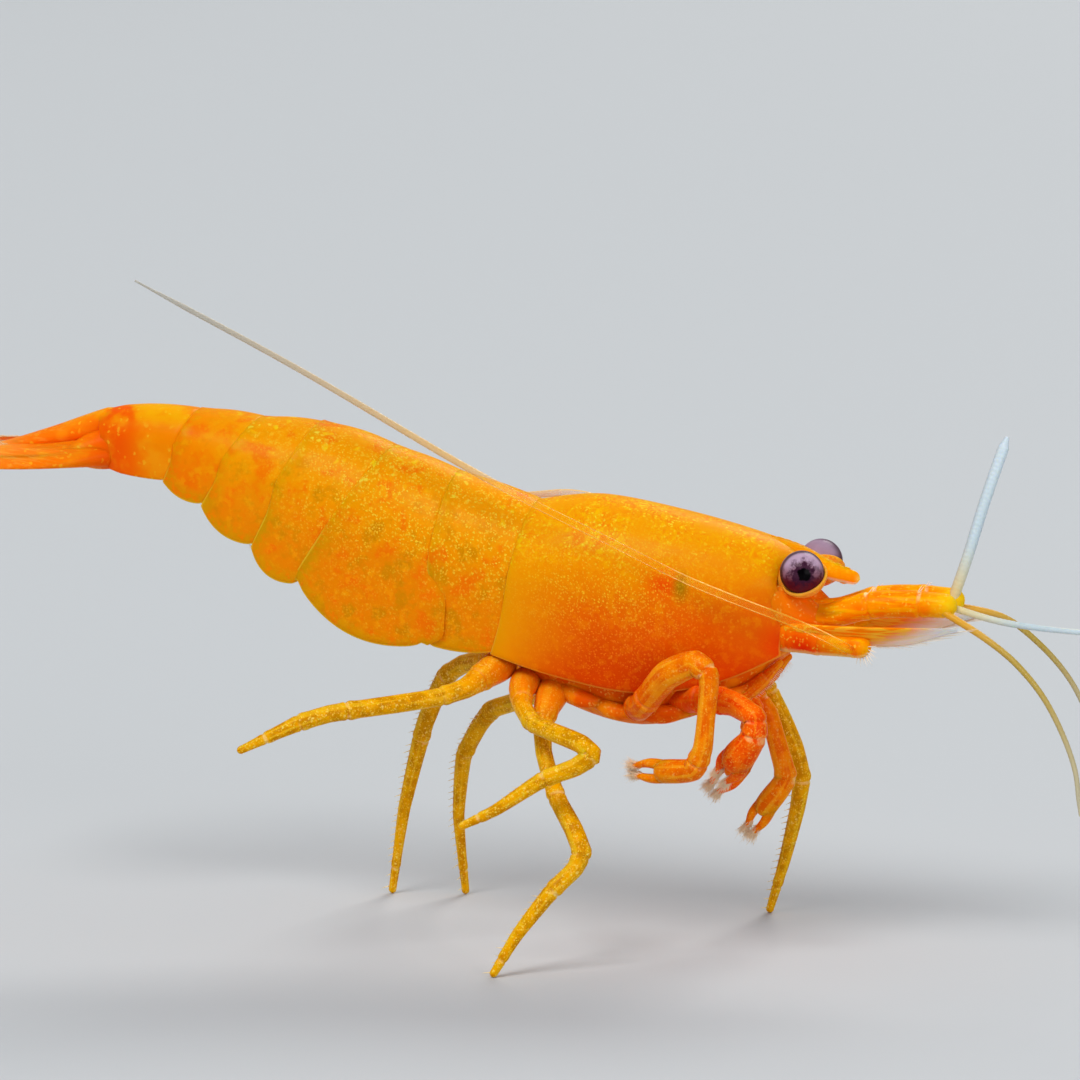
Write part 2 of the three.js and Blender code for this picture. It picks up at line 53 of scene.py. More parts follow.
ROOT = "root"
SIDES = {"right": 1, "left": -1}  # tables give the right side, and the left side mirrors Y

# ---- driving sizes, shared with the solids ------------------------------------------------
EYE_RADIUS = 0.6
EYE_CENTRE = np.array([7.64, -1.2, 10.68])
EYESTALK_ROOT = np.array([6.3, -0.25, 10.45])
DOME_SHARE = 0.5  # share of a section's height taken by its round top
EDGE_TUCK = 0.14  # how far the flaps lean in at their lower edge, of the half width
DOME_PART = 0.58  # share of the outline's columns spent on the round top

CARAPACE_BACK = [(0.0, 12.28), (1.8, 12.47), (4.2, 12.08), (6.4, 11.52), (7.3, 11.12)]
CARAPACE_SIDE = [(-0.52, 10.21), (1.6, 10.2), (3.8, 10.0), (5.6, 9.9), (6.5, 10.0)]
CARAPACE_EDGE = [(-1.05, 8.15), (0.9, 7.62), (3.2, 7.27), (5.4, 7.63), (7.3, 8.5)]
CARAPACE_HALF_REAR = 1.72
CARAPACE_HALF = 1.95
CARAPACE_HALF_FRONT = 1.2
CARAPACE_WIDEST = 0.35
CARAPACE_TAPER = 1.8
ROSTRUM_PATH = [(5.0, 0, 11.55), (6.4, 0, 11.24), (7.3, 0, 10.95), (8.05, 0, 10.63), (8.98, 0, 10.37)]

ABDOMEN_LIMITS = [  # back (x, z), lower edge (x, z), half width
    ((0.0, 12.28), (-1.05, 8.2), 1.72),
    ((-2.15, 12.93), (-2.95, 8.42), 1.82),
    ((-4.0, 13.58), (-6.45, 9.95), 1.8),
    ((-6.1, 14.2), (-7.87, 10.95), 1.65),
    ((-7.87, 14.3), (-9.4, 12.0), 1.4),
    ((-9.65, 14.48), (-10.6, 12.57), 1.12),
    ((-12.65, 14.42), (-12.3, 12.77), 0.8),
]
LOBE_DEPTH = (0.12, 0.72, 0.44, 0.34, 0.2, 0.05)
BACK_HUMP = (0.05, 0.05, 0.1, 0.06, 0.06, 0.12)
LOBE_ROUNDNESS = 0.7
BELLY_LEVEL = 0.7

PLATE_THICKNESS = 0.11


def animal_shift():
    """Where the animal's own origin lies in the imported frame, in millimetres."""
    low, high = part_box("eye_right")
    middle = (np.array(low) + np.array(high)) / 2 / MM
    return np.array([middle[0] - EYE_CENTRE[0], middle[1] - EYE_CENTRE[1], 0.0])


SHIFT = animal_shift()


# ---- numbers ------------------------------------------------------------------------------
def lerp(a, b, t):
    return a + (b - a) * t


def smooth(low, high, value):
    part = np.clip((value - low) / (high - low), 0.0, 1.0)
    return part * part * (3 - 2 * part)


def bell(value, centre, width):
    return np.exp(-(((value - centre) / width) ** 2))


def unit(vector):
    vector = np.asarray(vector, float)
    return vector / np.linalg.norm(vector, axis=-1, keepdims=True)


def along(stations, t):
    """Smooth value of evenly spaced stations at t, from 0 at the first to 1 at the last."""
    return float(spline_at(stations, t))


def spline_at(points, t):
    """A point of the even Catmull-Rom spline through points, t from 0 to 1."""
    count = len(points)
    place = t * (count - 1)
    i = int(min(max(math.floor(place), 0), count - 2))
    w = place - i
    p0, p1, p2, p3 = (np.array(points[min(max(k, 0), count - 1)]) for k in (i - 1, i, i + 1, i + 2))
    v0, v1 = (p2 - p0) / 2, (p3 - p1) / 2
    return p1 + v0 * w + (3 * (p2 - p1) - 2 * v0 - v1) * w**2 + (2 * (p1 - p2) + v0 + v1) * w**3


def path_at(points, place):
    """A point of the centripetal Catmull-Rom path, with place counted in path points."""
    pts = [np.array(p, float) for p in points]
    pts = [2 * pts[0] - pts[1], *pts, 2 * pts[-1] - pts[-2]]
    i = int(min(max(math.floor(place), 0), len(points) - 2))
    w = place - i
    p0, p1, p2, p3 = pts[i : i + 4]
    d0, d1, d2 = (math.sqrt(max(np.linalg.norm(b - a), 1e-9)) for a, b in ((p0, p1), (p1, p2), (p2, p3)))
    v0 = ((p1 - p0) / d0 - (p2 - p0) / (d0 + d1) + (p2 - p1) / d1) * d1
    v1 = ((p2 - p1) / d1 - (p3 - p1) / (d1 + d2) + (p3 - p2) / d2) * d1
    return p1 + v0 * w + (3 * (p2 - p1) - 2 * v0 - v1) * w**2 + (2 * (p1 - p2) + v0 + v1) * w**3


def bent_at(points, place, straight):
    """A point between the smooth path, for straight 0, and the plain line through its points, for 1."""
    i = int(min(max(math.floor(place), 0), len(points) - 2))
    direct = lerp(np.array(points[i], float), np.array(points[i + 1], float), place - i)
    return lerp(path_at(points, place), direct, straight)


def mirror(points, sign):
    """Points of the right side, or mirrored to the left for a sign of -1."""
    return [np.array(p, float) * (1, sign, 1) for p in points]


# ---- bodies and pieces --------------------------------------------------------------------
def placed(name, data):
    """Links a new object that holds a mesh, a lamp or a camera."""
    thing = bpy.data.objects.new(name, data)
    bpy.context.scene.collection.objects.link(thing)
    return thing


class Cast:
    """Collects closed bodies, in the animal's millimetres, that make one piece."""

    def __init__(self):
        self.points, self.faces, self.marks = [], [], []

    def add(self, points, faces, marks):
        start = len(self.points)
        self.points.extend(np.asarray(points, float).tolist())
        self.faces.extend([[start + k for k in face] for face in faces])
        self.marks.append(marks)
        return self

    def piece(self, name, material):
        mesh = bpy.data.meshes.new(name)
        mesh.from_pydata(((np.array(self.points) + SHIFT) * MM).tolist(), [], self.faces)
        for key in sorted({key for marks in self.marks for key in marks}):
            values = np.concatenate([np.asarray(marks[key], np.float32) for marks in self.marks])
            mesh.attributes.new(key, "FLOAT", "POINT").data.foreach_set("value", values)
        return finished(name, mesh, material)


def finished(name, mesh, material):
    """Links a mesh as a smooth, closed piece whose faces point out."""
    shape = bmesh.new()
    shape.from_mesh(mesh)
    bmesh.ops.recalc_face_normals(shape, faces=shape.faces)
    for face in shape.faces:
        face.smooth = True
    shape.to_mesh(mesh)
    shape.free()
    mesh.materials.clear()
    mesh.materials.append(material)
    return placed(name, mesh)


def settle(piece, slot, *nodes):
    """Says what a finished piece rides on and which solids it stands for, and hides those solids. slot is not
    used.
    """
    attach(piece, ROOT)
    if nodes:
        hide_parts(*nodes)


def band(first, second, around):
    """Quads between two rings of points, given by the rings' numbers."""
    a, b = first * around, second * around
    pairs = [(k, (k + 1) % around) for k in range(around)]
    return [(a + k, a + following, b + following, b + k) for k, following in pairs]


def fan(pole, ring, around, turned=False):
    """Triangles between a pole and a ring of points, wound the other way where turned."""
    start = ring * around
    pairs = [(start + k, start + (k + 1) % around) for k in range(around)]
    return [(pole, b, a) if turned else (pole, a, b) for a, b in pairs]


def ring_faces(rings, around):
    """Quads between rings of points, and fans to the two poles that follow the rings."""
    faces = [quad for i in range(rings - 1) for quad in band(i, i + 1, around)]
    faces += fan(rings * around, 0, around, turned=True)
    return faces + fan(rings * around + 1, rings - 1, around)


ROUND_END = [(0.92, 0.35), (0.72, 0.66), (0.4, 0.9)]  # share of the size, share of the push


def rod(path, widths, heights, across=(0, 1, 0), around=20, spacing=0.08, end=None, swell=None, straight=0.0):
    """A rod or blade with round ends along a smooth path; returns points, faces and marks.

    Widths run along `across`, heights square to it, both as half sizes. swell(s, total) gives a
    factor on both, for the length s run so far. The marks are `run`, that length, and the way
    each point faces: `sideways` along the widths and `upward` along the heights.
    """
    samples = np.linspace(0.0, len(path) - 1 if end is None else end, 400)
    trail = np.array([bent_at(path, t, straight) for t in samples])
    lengths = np.concatenate([[0], np.cumsum(np.linalg.norm(np.diff(trail, axis=0), axis=1))])
    total = lengths[-1]
    stops = np.linspace(0, total, max(int(total / spacing), 4) + 1)
    if hasattr(swell, "stops"):
        stops = np.unique(np.concatenate([stops, [s for s in swell.stops if 0 < s < total]]))
    places = np.interp(stops, lengths, samples)
    centres = np.stack([np.interp(stops, lengths, trail[:, k]) for k in range(3)], 1)
    tangents = unit(np.gradient(centres, stops, axis=0))
    flat = np.asarray(across, float)
    sides = unit(flat - (tangents @ flat)[:, None] * tangents)
    ups = np.cross(tangents, sides)
    angles = np.linspace(0, 2 * math.pi, around, endpoint=False)
    points, runs, sideways, upward = [], [], [], []

    def half_sizes(i):
        share = places[i] / (len(path) - 1)
        return along(widths, share), along(heights, share), swell(stops[i], total) if swell else 1

    def ring(i, scale, push):
        wide, high, factor = half_sizes(i)
        wide, high = wide * (scale * factor), high * (scale * factor)
        centre = centres[i] + tangents[i] * push
        for angle in angles:
            points.append(centre + sides[i] * wide * math.cos(angle) + ups[i] * high * math.sin(angle))
            runs.append(stops[i] + push)
            sideways.append(math.cos(angle))
            upward.append(math.sin(angle))

    last = len(stops) - 1
    ends = [half_sizes(i) for i in (0, last)]
    first_push, last_push = [min(wide, high) * factor for wide, high, factor in ends]
    for size, push in reversed(ROUND_END):
        ring(0, size, -push * first_push)
    for i in range(last + 1):
        ring(i, 1, 0)
    for size, push in ROUND_END:
        ring(last, size, push * last_push)
    points += [centres[0] - tangents[0] * first_push, centres[last] + tangents[last] * last_push]
    marks = {"run": [*runs, 0, total], "sideways": [*sideways, 0, 0], "upward": [*upward, 0, 0]}
    return np.array(points), ring_faces(last + 1 + 2 * len(ROUND_END), around), marks


def outward_normal(grid):
    """Normals of a grid of points, turned away from its middle."""
    normal = unit(np.cross(np.gradient(grid, axis=1), np.gradient(grid, axis=0)))
    outward = np.sum(normal * (grid - grid.mean(axis=(0, 1)))) >= 0
    return normal if outward else -normal


RIM_SHARE = 0.35  # a plate's thickness at its rim, of its full one
RIM_REACH = 0.3  # how far in from the rim a plate reaches its full thickness


def plate(outer, thickness, edge, marked=None):
    """A closed plate from a grid of points: outer skin, inner skin, and a rounded rim.

    It thins to every `edge`; the finish sees the edges in `marked`, or the same ones.
    """
    rows, columns, _ = outer.shape
    normal = outward_normal(outer)
    depth = thickness * (RIM_SHARE + (1 - RIM_SHARE) * smooth(0, RIM_REACH, edge))[..., None]
    inner = outer - normal * depth
    points = np.concatenate([outer.reshape(-1, 3), inner.reshape(-1, 3)])
    marked = edge if marked is None else marked
    marks = np.concatenate([marked.reshape(-1), marked.reshape(-1)])
    half = rows * columns
    faces = []
    for i in range(rows - 1):
        for k in range(columns - 1):
            a = i * columns + k
            quad = (a, a + 1, a + columns + 1, a + columns)
            faces.append(quad)
            faces.append(tuple(half + v for v in reversed(quad)))
    border = list(range(columns))
    border += [i * columns + columns - 1 for i in range(1, rows)]
    border += [(rows - 1) * columns + k for k in range(columns - 2, -1, -1)]
    border += [i * columns for i in range(rows - 2, 0, -1)]
    loop = outer.reshape(-1, 3)[border]
    ahead, behind = np.roll(loop, -1, axis=0), np.roll(loop, 1, axis=0)
    middle = (loop + inner.reshape(-1, 3)[border]) / 2
    outward = unit(np.cross(ahead - behind, normal.reshape(-1, 3)[border]))
    if np.sum(outward * (loop - outer.mean(axis=(0, 1)))) < 0:
        outward = -outward
    rim = middle + outward * depth.reshape(-1)[border][:, None] * 0.5
    start = len(points)
    points = np.concatenate([points, rim])
    marks = np.concatenate([marks, marked.reshape(-1)[border]])
    for k, corner in enumerate(border):
        following = (k + 1) % len(border)
        a, b = corner, border[following]
        faces.append((a, b, start + following, start + k))
        faces.append((start + k, start + following, half + b, half + a))
    return points, faces, {"edge": marks}


def grid_edge(outer, sides):
    """Millimetres from every grid point to the nearest of the named free sides."""
    steps_down = np.linalg.norm(np.diff(outer, axis=0), axis=2)
    steps_over = np.linalg.norm(np.diff(outer, axis=1), axis=2)
    from_first_row = np.concatenate([np.zeros((1, outer.shape[1])), np.cumsum(steps_down, axis=0)])
    from_first_column = np.concatenate([np.zeros((outer.shape[0], 1)), np.cumsum(steps_over, axis=1)], axis=1)
    ways = {
        "first_row": from_first_row,
        "last_row": from_first_row[-1:] - from_first_row,
        "first_column": from_first_column,
        "last_column": from_first_column[:, -1:] - from_first_column,
    }
    return np.min([ways[side] for side in sides], axis=0)


# ---- carapace -----------------------------------------------------------------------------
def half_outline(a):
    """Share of the way down and of the half width, at a from the back's ridge to the edge."""
    if a < DOME_PART:
        angle = a / DOME_PART * math.pi / 2
        return DOME_SHARE * (1 - math.cos(angle)), math.sin(angle)
    part = (a - DOME_PART) / (1 - DOME_PART)
    return lerp(DOME_SHARE, 1, part), 1 - EDGE_TUCK * part**2


def section_point(limit, a, sign):
    """A point of a section: limit is its back, side (or None) and edge in (x, z), and half width."""
    back, side, edge, half = limit
    share, width = half_outline(a)
    if side is None:
        x, z = lerp(back, edge, share)
    else:
        x, z = lerp(lerp(back, side, share), lerp(side, edge, share), share)
    return np.array([x, sign * width * half, z])


def carapace_half(t):
    if t < CARAPACE_WIDEST:
        return CARAPACE_HALF - (CARAPACE_HALF - CARAPACE_HALF_REAR) * (1 - t / CARAPACE_WIDEST) ** 2
    front = (t - CARAPACE_WIDEST) / (1 - CARAPACE_WIDEST)
    return CARAPACE_HALF - (CARAPACE_HALF - CARAPACE_HALF_FRONT) * front**CARAPACE_TAPER


def carapace_limit(t):
    """One section of the carapace, t from 0 at the rear to 1 in front, and a little beyond."""
    inside = min(max(t, 0.0), 1.0)
    step = 0.01 if inside < 0.5 else -0.01
    corners = []
    for line in (CARAPACE_BACK, CARAPACE_SIDE, CARAPACE_EDGE):
        here = spline_at(line, inside)
        slope = (spline_at(line, inside + step) - here) / step
        corners.append(here + slope * (t - inside))
    return (*corners, carapace_half(inside))


ORBIT = (0.26, 0.16, 0.055)  # where the eye's notch is on the outline, its width, its depth
ANTENNAL_SPINE = (0.5, 0.028, 0.022)  # the same for the small spine below the notch
REAR_SCOOP = 0.03  # how far the rear margin is cut in on the flanks
CARAPACE_GRID = (110, 44)  # rows, and columns on each flank


def carapace_reach(a):
    """Where the rear and the front margin lie at a place of the outline, in shares of the length."""
    rear = -0.006 + REAR_SCOOP * bell(a, 0.8, 0.25)
    notch = ORBIT[2] * bell(a, ORBIT[0], ORBIT[1])
    spine = ANTENNAL_SPINE[2] * bell(a, ANTENNAL_SPINE[0], ANTENNAL_SPINE[1])
    corner = 0.05 * smooth(0.8, 1.0, a)
    return rear, 1.0 - notch + spine - corner


def shell_grid(grid, reach, limit):
    """A grid of points over both flanks, and each point's place (a, t) on outline and length.

    reach(a) says where a column starts and ends, and limit(t) gives the section there.
    """
    rows, half_columns = grid
    outline = np.linspace(-1, 1, 2 * half_columns + 1)
    points = np.zeros((rows, len(outline), 3))
    places = np.zeros((rows, len(outline), 2))
    for k, signed in enumerate(outline):
        a, sign = abs(signed), 1 if signed >= 0 else -1
        start, end = reach(a)
        for i in range(rows):
            t = lerp(start, end, i / (rows - 1))
            places[i, k] = a, t
            points[i, k] = section_point(limit(t), a, sign)
    return points, places


def build_carapace(material):
    """The one shell over head and chest."""
    outer, _ = shell_grid(CARAPACE_GRID, carapace_reach, carapace_limit)
    outer += outward_normal(outer) * carapace_relief(outer)[..., None]
    edge = grid_edge(outer, ("first_row", "last_row", "first_column", "last_column"))
    cast = Cast().add(*plate(outer, PLATE_THICKNESS, edge))
    settle(cast.piece("carapace_shell", material), "shell", "carapace")


def carapace_relief(points):
    """Raised and sunk features of the carapace, in millimetres along its normal."""
    x, y, z = points[..., 0], np.abs(points[..., 1]), points[..., 2]
    groove_line = 10.95 - 0.55 * (x - 4.6) ** 2
    groove_reach = smooth(3.4, 3.9, x) * smooth(5.9, 5.3, x)
    cervical = -0.014 * bell(z, groove_line, 0.16) * groove_reach * smooth(0.6, 1.2, y)
    gill = 0.03 * bell(z, 9.2, 0.9) * smooth(0.2, 1.6, x) * smooth(5.6, 4.0, x)
    hollow = -0.05 * bell(x, 6.6, 0.5) * bell(z, 9.9, 0.4) * smooth(0.6, 1.0, y)
    return cervical + gill + hollow


ROSTRUM_WIDTHS = (0.1, 0.24, 0.26, 0.2, 0.1)
ROSTRUM_HEIGHTS = (0.1, 0.26, 0.32, 0.27, 0.18)
UPPER_TEETH = np.linspace(0.9, 3.6, 12)  # where the beak's teeth stand, in path points
LOWER_TEETH = (3.1, 3.5)
TOOTH_SUNK = 0.03  # how deep a tooth's root sits in the beak


def build_rostrum(material):
    """The beak between the eyes, with a row of small teeth along its top and two below."""
    cast = Cast()
    tip = oval_end(0.2)
    cast.add(*rod(ROSTRUM_PATH, ROSTRUM_WIDTHS, ROSTRUM_HEIGHTS, around=24, spacing=0.03, swell=tip))
    for place in UPPER_TEETH:
        share = place / (len(ROSTRUM_PATH) - 1)
        base = path_at(ROSTRUM_PATH, place)
        ahead = unit(path_at(ROSTRUM_PATH, place + 0.05) - base)
        top = base + np.array([0, 0, along(ROSTRUM_HEIGHTS, share) - TOOTH_SUNK])
        tooth = [top - ahead * 0.08, top + ahead * 0.03 + (0, 0, 0.035), top + ahead * 0.12 + (0, 0, 0.05)]
        cast.add(*rod(tooth, (0.045, 0.035, 0.012), (0.05, 0.03, 0.01), around=8, spacing=0.03))
    for place in LOWER_TEETH:
        share = place / (len(ROSTRUM_PATH) - 1)
        base = path_at(ROSTRUM_PATH, place) - (0, 0, along(ROSTRUM_HEIGHTS, share) - TOOTH_SUNK)
        tooth = [base - (0.06, 0, 0), base + (0.03, 0, -0.04), base + (0.12, 0, -0.04)]
        cast.add(*rod(tooth, (0.035, 0.03, 0.012), (0.04, 0.03, 0.01), around=8, spacing=0.03))
    settle(cast.piece("rostrum", material), "shell")


# ---- abdomen ------------------------------------------------------------------------------
def ring_limit(index, t):
    """One section of an abdomen ring, t from its front limit at 0 to its rear one at 1."""
    front, rear = ABDOMEN_LIMITS[index], ABDOMEN_LIMITS[index + 1]
    swell = math.sin(math.pi * min(max(t, 0.0), 1.0))
    back = lerp(np.array(front[0]), np.array(rear[0]), t) + (0, BACK_HUMP[index] * swell)
    run = np.array(rear[1]) - np.array(front[1])
    depth = LOBE_DEPTH[index] * swell**LOBE_ROUNDNESS
    edge = lerp(np.array(front[1]), np.array(rear[1]), t)
    edge = edge + np.array([-run[1], run[0]]) / np.linalg.norm(run) * depth
    return back, None, edge, lerp(front[2], rear[2], t)


FIRST, SADDLE, LAST = 0, 1, 5  # the rings whose plates differ; the saddle lies over both its neighbours
PLATE_GRID = (46, 40)  # rows, and columns on each flank
TUCK_DEPTH = 0.17  # how far a plate's front lies under the plate ahead of it
LIP = 0.014  # how far its rear margin stands up


def plate_reach(index, a):
    """Where a plate's front and rear margins lie, counted in the ring's own length."""
    low = float(smooth(0.55, 0.8, a))
    front = -0.12 - 0.11 * low * (index == FIRST)
    rear = 1.07 - 0.1 * low
    if index == SADDLE:
        front = lerp(-0.1, -0.17, low) * (1 - 0.8 * float(smooth(0.88, 1.02, a)) ** 2)
        rear = lerp(1.07, 1.06, low)
    if index == LAST:
        front, rear = -0.08, 1.0
    return front, rear


def plate_lift(index, a, t):
    """How far a plate lies outside the plain outline: under its neighbour ahead, over the next."""
    low = float(smooth(0.55, 0.8, a))
    begin, end = (-0.1 - 0.11 * low, 0.02 - 0.11 * low) if index == FIRST else (-0.05, 0.09)
    if index > SADDLE + 1:
        begin, end = begin - 0.1 * low, end - 0.1 * low
    tucked = -TUCK_DEPTH * (1 - float(smooth(begin, end, t)))
    lip = LIP * float(smooth(0.85, 1.0, t))
    if index == FIRST:
        lip = lerp(lip, -TUCK_DEPTH * float(smooth(0.8, 1.0, t)), low)
    if index == LAST:
        lip = -0.06 * float(smooth(0.75, 1.02, t))
    if index == SADDLE:
        tucked = lerp(tucked, 0.04 * (1 - float(smooth(0.0, 0.2, t))), low)
    return tucked + lip


def build_plate(index, material):
    """One ring's plate, which arches over the back and hangs down both flanks."""
    reach, limit = (lambda a: plate_reach(index, a)), (lambda t: ring_limit(index, t))
    outer, places = shell_grid(PLATE_GRID, reach, limit)
    lift = np.apply_along_axis(lambda place: plate_lift(index, *place), 2, places)
    outer += outward_normal(outer) * lift[..., None]
    free = ("last_row", "first_column", "last_column")
    edge = grid_edge(outer, (*free, "first_row") if index == SADDLE else free)
    body = plate(outer, PLATE_THICKNESS, edge, grid_edge(outer, free))
    return Cast().add(*body).piece(f"abdomen_plate_{index + 1}", material)


def build_abdomen(shell, tail):
    """Six plates, the last of them in the tail's finish."""
    for index in range(LAST + 1):
        finish, slot = (tail, "tail") if index == LAST else (shell, "shell")
        settle(build_plate(index, finish), slot, f"abdomen_{index + 1}")


# ---- flesh: one soft skin under all the plates ----------------------------------------------
MOUTH_LOBES = [  # the head's front and the folded mouth limbs: path, half widths, half heights
    ([(6.0, -0.55, 9.55), (7.0, -0.64, 9.5), (8.1, -0.6, 9.2)], (0.52, 0.56, 0.3), (0.95, 0.88, 0.4)),
    ([(4.2, -1.0, 6.85), (5.1, -1.05, 6.98), (6.0, -0.75, 7.4)], (0.2, 0.28, 0.1), (0.24, 0.3, 0.1)),
    ([(3.0, -0.9, 6.6), (3.8, -1.05, 6.62), (4.7, -0.95, 6.85)], (0.2, 0.3, 0.18), (0.2, 0.26, 0.18)),
    ([(1.9, -0.95, 6.85), (2.4, -1.1, 6.66), (3.1, -1.0, 6.62)], (0.2, 0.28, 0.18), (0.2, 0.24, 0.18)),
    ([(1.0, -0.95, 7.2), (1.4, -1.1, 6.98), (2.0, -1.0, 6.86)], (0.2, 0.28, 0.18), (0.22, 0.26, 0.18)),
]


SKIN_TOP = 0.05  # where the skin's back lies on the way down from the plates' back
CHEST_SHARE, BELLY_SHARE = 0.86, 0.88  # the skin's half width, of the plates'


def flesh_station(top, bottom, half):
    """One oval ring between two points of the middle plane."""
    ring = []
    for angle in np.linspace(0, 2 * math.pi, 40, endpoint=False):
        x, z = lerp(np.array(top), np.array(bottom), 0.5 - 0.5 * math.cos(angle))
        ring.append((x, half * math.sin(angle), z))
    return ring


def down_the_line(limit, share):
    """The point (x, z) of a section a share of the way from its back to its edge, or past it."""
    back, side, edge, _ = limit
    if side is None or share > 1:
        return lerp(back, edge, share)
    return lerp(lerp(back, side, share), lerp(side, edge, share), share)


def build_flesh(material):
    """One closed skin from the mouth to the tail, with the folded mouth limbs under the head."""
    rings = []
    for part in np.linspace(1, 0, 26):
        limit = carapace_limit(lerp(0.01, 0.95, part))
        drop = 0.12 + 0.42 * smooth(0, 0.25, part) * smooth(1, 0.8, part)
        drop += 0.6 * math.sin(math.pi * part) ** 1.2
        below = 1 + drop / (limit[0][1] - limit[2][1])
        top, bottom = down_the_line(limit, SKIN_TOP), down_the_line(limit, below)
        rings.append(flesh_station(top, bottom, limit[3] * CHEST_SHARE))
    for index in range(LAST + 1):
        for t in np.linspace(0.15, 0.95, 7):
            limit = ring_limit(index, t)
            level = BELLY_LEVEL + 0.06 + (0.1 if index == LAST else 0)
            folds = 0.03 * math.sin(2 * math.pi * t)
            top, bottom = down_the_line(limit, SKIN_TOP), down_the_line(limit, level + folds)
            rings.append(flesh_station(top, bottom, limit[3] * BELLY_SHARE))
    around = len(rings[0])
    points = [p for ring in rings for p in ring]
    points += [np.mean(rings[0], axis=0) + (0.25, 0, 0), np.mean(rings[-1], axis=0) - (0.2, 0, 0)]
    cast = Cast().add(points, ring_faces(len(rings), around), {"edge": np.ones(len(points))})
    for sign in (1, -1):
        for path, halves, heights in MOUTH_LOBES:
            points, faces, _ = rod(mirror(path, sign), halves, heights, (0, 1, 0.3 * sign), spacing=0.06)
            cast.add(points, faces, {"edge": np.ones(len(points))})
    settle(cast.piece("flesh_skin", material), "shell", "thorax")


# ---- tail fan -----------------------------------------------------------------------------
TELSON_PATH = [(-12.4, 0, 14.0), (-14.1, 0, 13.55), (-15.6, 0, 13.2), (-16.6, 0, 13.02), (-16.9, 0, 12.98)]
TELSON_HALF = (0.56, 0.5, 0.38, 0.28, 0.2)
TELSON_HEIGHT = (0.44, 0.3, 0.18, 0.1, 0.05)
TELSON_SPINES = (1.6, 2.2, 2.7, 3.2)  # where its side spines stand, in path points
FAN_LEAN = 0.38  # how far a blade's outer edge hangs down, of its width
UROPODS = {  # path, half widths, where its rib lies on it, millimetres of round end, share without fringe
    "inner": ([(-12.4, -0.35, 13.38), (-13.9, -0.76, 13.22), (-15.4, -0.92, 13.12), (-16.7, -0.96, 13.02),
               (-17.15, -0.96, 13.0)], (0.26, 0.44, 0.56, 0.52, 0.4), (0, 0, 0.05), 0.75, 0.45),
    "outer": ([(-12.4, -0.6, 13.12), (-13.9, -1.36, 13.09), (-15.3, -1.84, 13.12), (-16.8, -2.08, 13.05),
               (-17.3, -2.12, 13.03)], (0.28, 0.48, 0.62, 0.58, 0.46), (0, -0.1, 0.05), 0.8, 0.5),
}
BLADE_HEIGHT = (0.3, 0.17, 0.1, 0.06, 0.04)
RIB_WIDTH, RIB_HEIGHT = (0.09, 0.08, 0.06, 0.03), (0.1, 0.08, 0.05, 0.02)
UROPOD_ROOT = [(-12.0, -0.3, 13.42), (-12.75, -0.42, 13.26), (-13.7, -0.9, 13.12)]
UROPOD_ROOT_HALF = (0.44, 0.46, 0.22)
UROPOD_ROOT_HEIGHT = (0.62, 0.54, 0.16)


FRINGE_STATIONS = 32  # hairs' lines have a point at each
FRINGE_ROOT = 0.94  # where a fringe is rooted, of the blade's half width


def oval_end(length):
    """Rounds a blade off over the last millimetres of its length."""
    def swell(run, total):
        part = max(run - (total - length), 0.0) / length
        return math.sqrt(max(1 - part**2, 0.01))
    return swell


def blade_bristles(path, halves, across, first, bristle_lines, lengths=(0.35, 0.6), both=True,
                   round_end=0.0):
    """A line for bristles round the end of a flat blade, from `first` of the way to its tip."""
    across = unit(np.asarray(across, float))
    stations = np.linspace(first, 1, FRINGE_STATIONS)
    total = run_at(path, len(path) - 1)
    oval = oval_end(round_end) if round_end else None
    right, left = [], []
    for share in stations:
        place = share * (len(path) - 1)
        centre = path_at(path, place)
        ahead = unit(path_at(path, place + 0.02) - path_at(path, place - 0.02))
        side = unit(across - ahead * np.dot(ahead, across))
        wide = along(halves, share) * FRINGE_ROOT * (oval(run_at(path, place), total) if oval else 1)
        lean = smooth(first, 1, share)
        long = lerp(*lengths, lean)
        right.append((centre + side * wide, unit(lerp(side * 0.8, ahead, 0.45 + 0.5 * lean)) * long))
        left.append((centre - side * wide, unit(lerp(-side * 0.8, ahead, 0.45 + 0.5 * lean)) * long))
    bristle_lines.append(right + left[::-1] if both else right)


